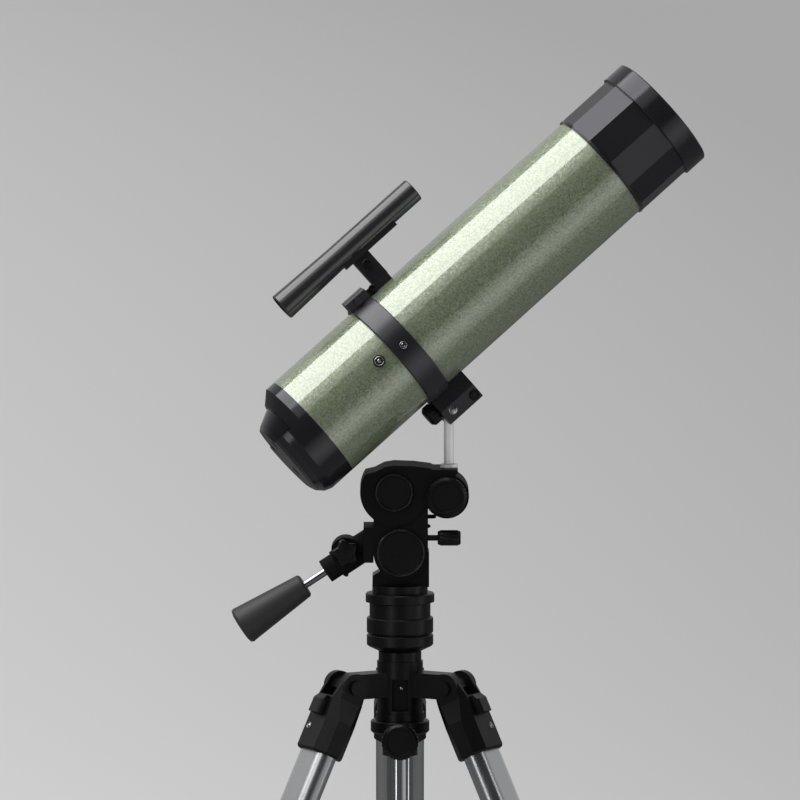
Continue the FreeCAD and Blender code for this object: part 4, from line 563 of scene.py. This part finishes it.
TUBE_OUT, RING_OUT = 52.55, 56.05
FITTING_TURN, FITTING_ALONG, FITTING_PROUD = 16.0, 78.5, 2.4
ROLL, RING_SCREW_ALONG, RING_SCREW_PROUD = 12.0, 104.0, 1.6
PIVOT_CAP_OUT = 17.0
fitting_spot = around_tube(FITTING_ALONG, -90 - FITTING_TURN, TUBE_OUT + FITTING_PROUD)
ring_spot = around_tube(RING_SCREW_ALONG, -90 - ROLL, RING_OUT + RING_SCREW_PROUD)
crossed = dict(cross_wide=0.42, cross_reach=1.9, cross_deep=0.7)
cap_crossed = dict(cross_wide=0.5, cross_reach=2.4, cross_deep=0.8)
heads = [stood(turned(hoop(radius=3.9, thick=0.42, height=0.1)), *fitting_spot),
         stood(turned(dome(radius=1.9, rise=1.0), **crossed), *fitting_spot),
         stood(turned(hoop(radius=3.1, thick=0.34, height=0.05)), *ring_spot),
         stood(turned(dome(radius=2.0, rise=0.7), **crossed), *ring_spot)]
for side in (-1, 1):
    cap_spot = pivot + side * PIVOT_CAP_OUT * across
    heads.append(stood(turned(dome(radius=4.0, rise=1.2), **cap_crossed), cap_spot, side * across))
piece("telescope_screws", heads, steel_bright, "telescope")

SHOE_SCREW_UNDER, SHOE_SCREW_ALONG, SHOE_SCREW_OUT = 74.5, 127.5, 17.0
KNURLED_HEAD = [(0, -0.5), (4.9, -0.5), (5.0, 0.9, 1), (4.5, 1.4, 1), (3.6, 1.5), (3.2, 0.9),
                (0, 0.9)]
shoe_spot = tube_start + SHOE_SCREW_UNDER * under + SHOE_SCREW_ALONG * optical
piece("shoe_screws", [
    stood(turned(KNURLED_HEAD, 96, ribs=16, rib_depth=0.22),
          shoe_spot + side * SHOE_SCREW_OUT * across, side * across) for side in (-1, 1)],
    moulded, "telescope")

# ---------------------------------------------------------------------------------------
# The finder bracket's two thumbscrews: knurled black plastic heads moulded on steel screws,
# one in the stalk and a smaller one in the foot.
STALK_SCREW = (134.0, 76.0, 5.0)        # along the tube, up from its axis, and to the side
FOOT_SCREW = (122.0, 56.5, 10.0)


def thumbscrew(radius, length):
    """The profile of a knurled head on a slimmer neck."""
    return [(0, -1.0), (1.6, -1.0), (1.6, 1.2), (radius - 0.3, 1.2), (radius, 1.6, 1),
            (radius, length - 0.5, 1), (radius - 0.5, length), (radius - 1.4, length),
            (radius - 1.7, length - 0.5), (0, length - 0.5)]


rolled_side = around_tube(0, -90 - ROLL, 0)[1]
rolled_under = around_tube(0, -ROLL, 0)[1]
stalk_spot, foot_spot = (
    tube_start + along * optical - up * rolled_under + aside * rolled_side
    for along, up, aside in (STALK_SCREW, FOOT_SCREW))
piece("finder_thumbscrews", [
    stood(turned(thumbscrew(radius=4.2, length=6.0), 120, ribs=20, rib_depth=0.16),
          stalk_spot, rolled_side),
    stood(turned(thumbscrew(radius=3.4, length=4.5), 96, ribs=16, rib_depth=0.14),
          foot_spot, rolled_side)],
    moulded, "telescope")

# ---------------------------------------------------------------------------------------
# Finger grips moulded round the knobs of the column, the head's small lobe, the tilt lock and
# the shoe: shallow ribs along each rim, a shade above it.
def grip_band(radius, low, high, proud=0.45):
    """The profile of a thin sleeve round a rim of one radius, between two heights."""
    return [(radius - 0.8, low), (radius + 0.05, low), (radius + proud, low + 0.6, 1),
            (radius + proud, high - 0.6, 1), (radius + 0.05, high), (radius - 0.8, high),
            (radius - 0.8, low)]


def knob_grip(name, joint, body, radius, low, high, ribs, rib_depth=0.28):
    """Ribs round the knob that turns on a joint, between two heights out from the joint's point,
    each rib drawn with six sides of the turned sleeve."""
    axis = np.array(joints[joint]["axis"], float)
    point = np.array(joints[joint]["pos_m"], float) / MM
    grid = turned(grip_band(radius, low, high), ribs * 6, ribs=ribs, rib_depth=rib_depth)
    piece(name, [stood(grid, point, axis)], moulded, body)


knob_grip("column_knob_grip", "column_lock_knob", "column_lock", 16.0, low=3.0, high=10.0, ribs=30)
knob_grip("plate_knob_grip", "plate_lock_knob", "plate_lock", 17.5, low=2.0, high=8.0, ribs=34)
knob_grip("tilt_lock_grip", "tilt_lock_knob", "tilt_lock", 6.4, low=2.0, high=18.8, ribs=14,
          rib_depth=0.22)
knob_grip("shoe_knob_grip", "shoe_clamp_knob", "shoe_lock", 9.3, low=1.5, high=8.6, ribs=20)

# ---------------------------------------------------------------------------------------
# The handle's clamp knob: a five-lobed hand knob, moulded black on the end of its screw. It
# stands for the round knob of the frame.
def lobed(radius, depth, lobes, thick, steps=10):
    """A lobed knob, turned: a slab with a 2 mm round below and a 2.5 mm round above, whose radius
    swings by depth, lobes times round, and a low boss in the middle."""
    t = np.linspace(0, np.pi / 2, steps)
    full = np.ones(steps)
    below = np.column_stack([radius - 2.0 + 2.0 * np.sin(t), 2.0 - 2.0 * np.cos(t), full])
    above = np.column_stack([radius - 2.5 + 2.5 * np.cos(t), thick - 2.5 + 2.5 * np.sin(t), full])
    boss = [(radius - 4.5, thick, 0.4), (3.4, thick + 0.6, 0), (0, thick + 0.6, 0)]
    profile = np.vstack([[(0, 0, 0), (radius - 4, 0, 0.5)], below, above, boss])
    return turned(profile, 160, ribs=lobes, rib_depth=depth)


clamp = joints["handle_clamp_knob"]
knob = piece("handle_knob", [
    stood(lobed(radius=10.6, depth=1.5, lobes=5, thick=9.0),
          np.array(clamp["pos_m"]) / MM, clamp["axis"])],
    moulded, "handle_lock")
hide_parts("handle_clamp_knob")

# ---------------------------------------------------------------------------------------
# The grips of the focuser's two knobs and of the eyepiece: ribbed rubber rings, stretched
# over plain rims.
EYEPIECE_ALONG = 313.0
focus = joints["focus"]
shaft, shaft_way = np.array(focus["pos_m"]) / MM, np.array(focus["axis"], float)
focus_grip = turned(grip_band(11.0, 25.2, 32.8), 132, ribs=22, rib_depth=0.3)
piece("focus_knob_grips", [stood(focus_grip, shaft, side * shaft_way) for side in (-1, 1)],
      rubber, "focus")
eyepiece_way = np.array(joints["drawtube_slide"]["axis"], float)
eyepiece_ring = turned(grip_band(17.0, 104.0, 118.0, proud=0.9), 180, ribs=30, rib_depth=0.35)
piece("eyepiece_grip", [stood(eyepiece_ring, tube_start + EYEPIECE_ALONG * optical, eyepiece_way)],
      rubber, "eyepiece")

# ---------------------------------------------------------------------------------------
# Raised glossy beads, moulded with their parts: round the front cell's rim and the back of its
# lip, and round the covers on both sides of the head.
BEAD = 0.55
CELL_BEADS = ((53.75, 351.5), (55.6, 406.6))                    # radius, along the tube
COVER_BEADS = ((0.0, 0.0, 20.6, 27.1), (-6.1, 54.8, 16.2, 28.6))   # x, rise, radius, out

piece("cell_beads", [
    stood(turned(hoop(radius, BEAD, 0.0), 160), tube_start + along * optical, optical)
    for radius, along in CELL_BEADS], cell_gloss, "telescope")
tilt_point = np.array(joints["tilt"]["pos_m"], float) / MM
piece("cover_beads", [
    stood(turned(hoop(radius, BEAD, 0.0), 96), tilt_point + (x, side * out, rise), (0, side, 0))
    for x, rise, radius, out in COVER_BEADS for side in (-1, 1)],
    cell_gloss, "tilt")

# ---------------------------------------------------------------------------------------
# The tripod's small screws: a bright domed one in the hub's window, and one in a bright ring
# low on each leg's shoulder. Places are in mm, with the shoulders' sloping faces looking out.
HUB_SCREW = (1.2, -15.3, 763.8)
SCREW_OUT, SCREW_ASIDE, SCREW_HEIGHT = 89.8, 8.0, 733.5
FACE_OUT, FACE_UP = 0.903, 0.431
LEG_AZIMUTHS = {"left": 210, "right": 330, "back": 90}
SCREW_SIDES = {"left": -1, "right": 1, "back": 1}

piece("hub_screw", [stood(turned(dome(radius=1.8, rise=1.1), 32), HUB_SCREW, (0, -1, 0))],
      steel_bright, "hub")
for side in SIDES:
    a = math.radians(LEG_AZIMUTHS[side])
    aside = SCREW_SIDES[side] * SCREW_ASIDE
    spot = (SCREW_OUT * math.cos(a) - aside * math.sin(a),
            SCREW_OUT * math.sin(a) + aside * math.cos(a), SCREW_HEIGHT)
    way = (FACE_OUT * math.cos(a), FACE_OUT * math.sin(a), FACE_UP)
    piece(f"shoulder_screw_{side}", [
        stood(turned(hoop(radius=2.7, thick=0.35, height=0.1), 32), spot, way),
        stood(turned(dome(radius=1.7, rise=0.8), 32), spot, way)],
        steel_bright, f"leg_{side}")

# ---------------------------------------------------------------------------------------
# Small fittings of the head: a black screw under the handle's arm, a tab and a screw beside
# the neck, and the bright six-sided nut that holds the post on the platform.
ARM_SCREW, ARM_SCREW_WAY = (-48.3, 0.0, 865.2), (0.35, 0.0, -0.94)
NECK_TAB, NECK_SCREW = (27.4, 0.0, 918.4), (25.0, 0.0, 909.2)
POST_FOOT = (44.0, 0.0, 963.0)
TAB = [(0, -2.0), (4.6, -2.0), (5.2, -1.4), (5.2, 0.2), (4.6, 0.8), (0, 0.8)]
NUT = [(4.2, 0.2), (6.6, 0.2), (7.0, 0.6), (7.0, 2.4), (6.4, 3.0), (4.2, 3.0), (4.2, 0.2)]
UP, RIGHT = (0, 0, 1), (1, 0, 0)

piece("arm_screw", [
    stood(turned(dome(radius=1.9, rise=2.0, base=-1.5), 32), ARM_SCREW, ARM_SCREW_WAY)],
    moulded, "tilt")
piece("neck_tab", [
    stood(turned(TAB, 40), NECK_TAB, UP),
    stood(turned(dome(radius=1.8, rise=2.6, base=-1.5), 32), NECK_SCREW, RIGHT)],
    flat_coat, "tilt")
piece("post_nut", [stood(turned(NUT, 6), POST_FOOT, UP)], steel_bright, "tilt")
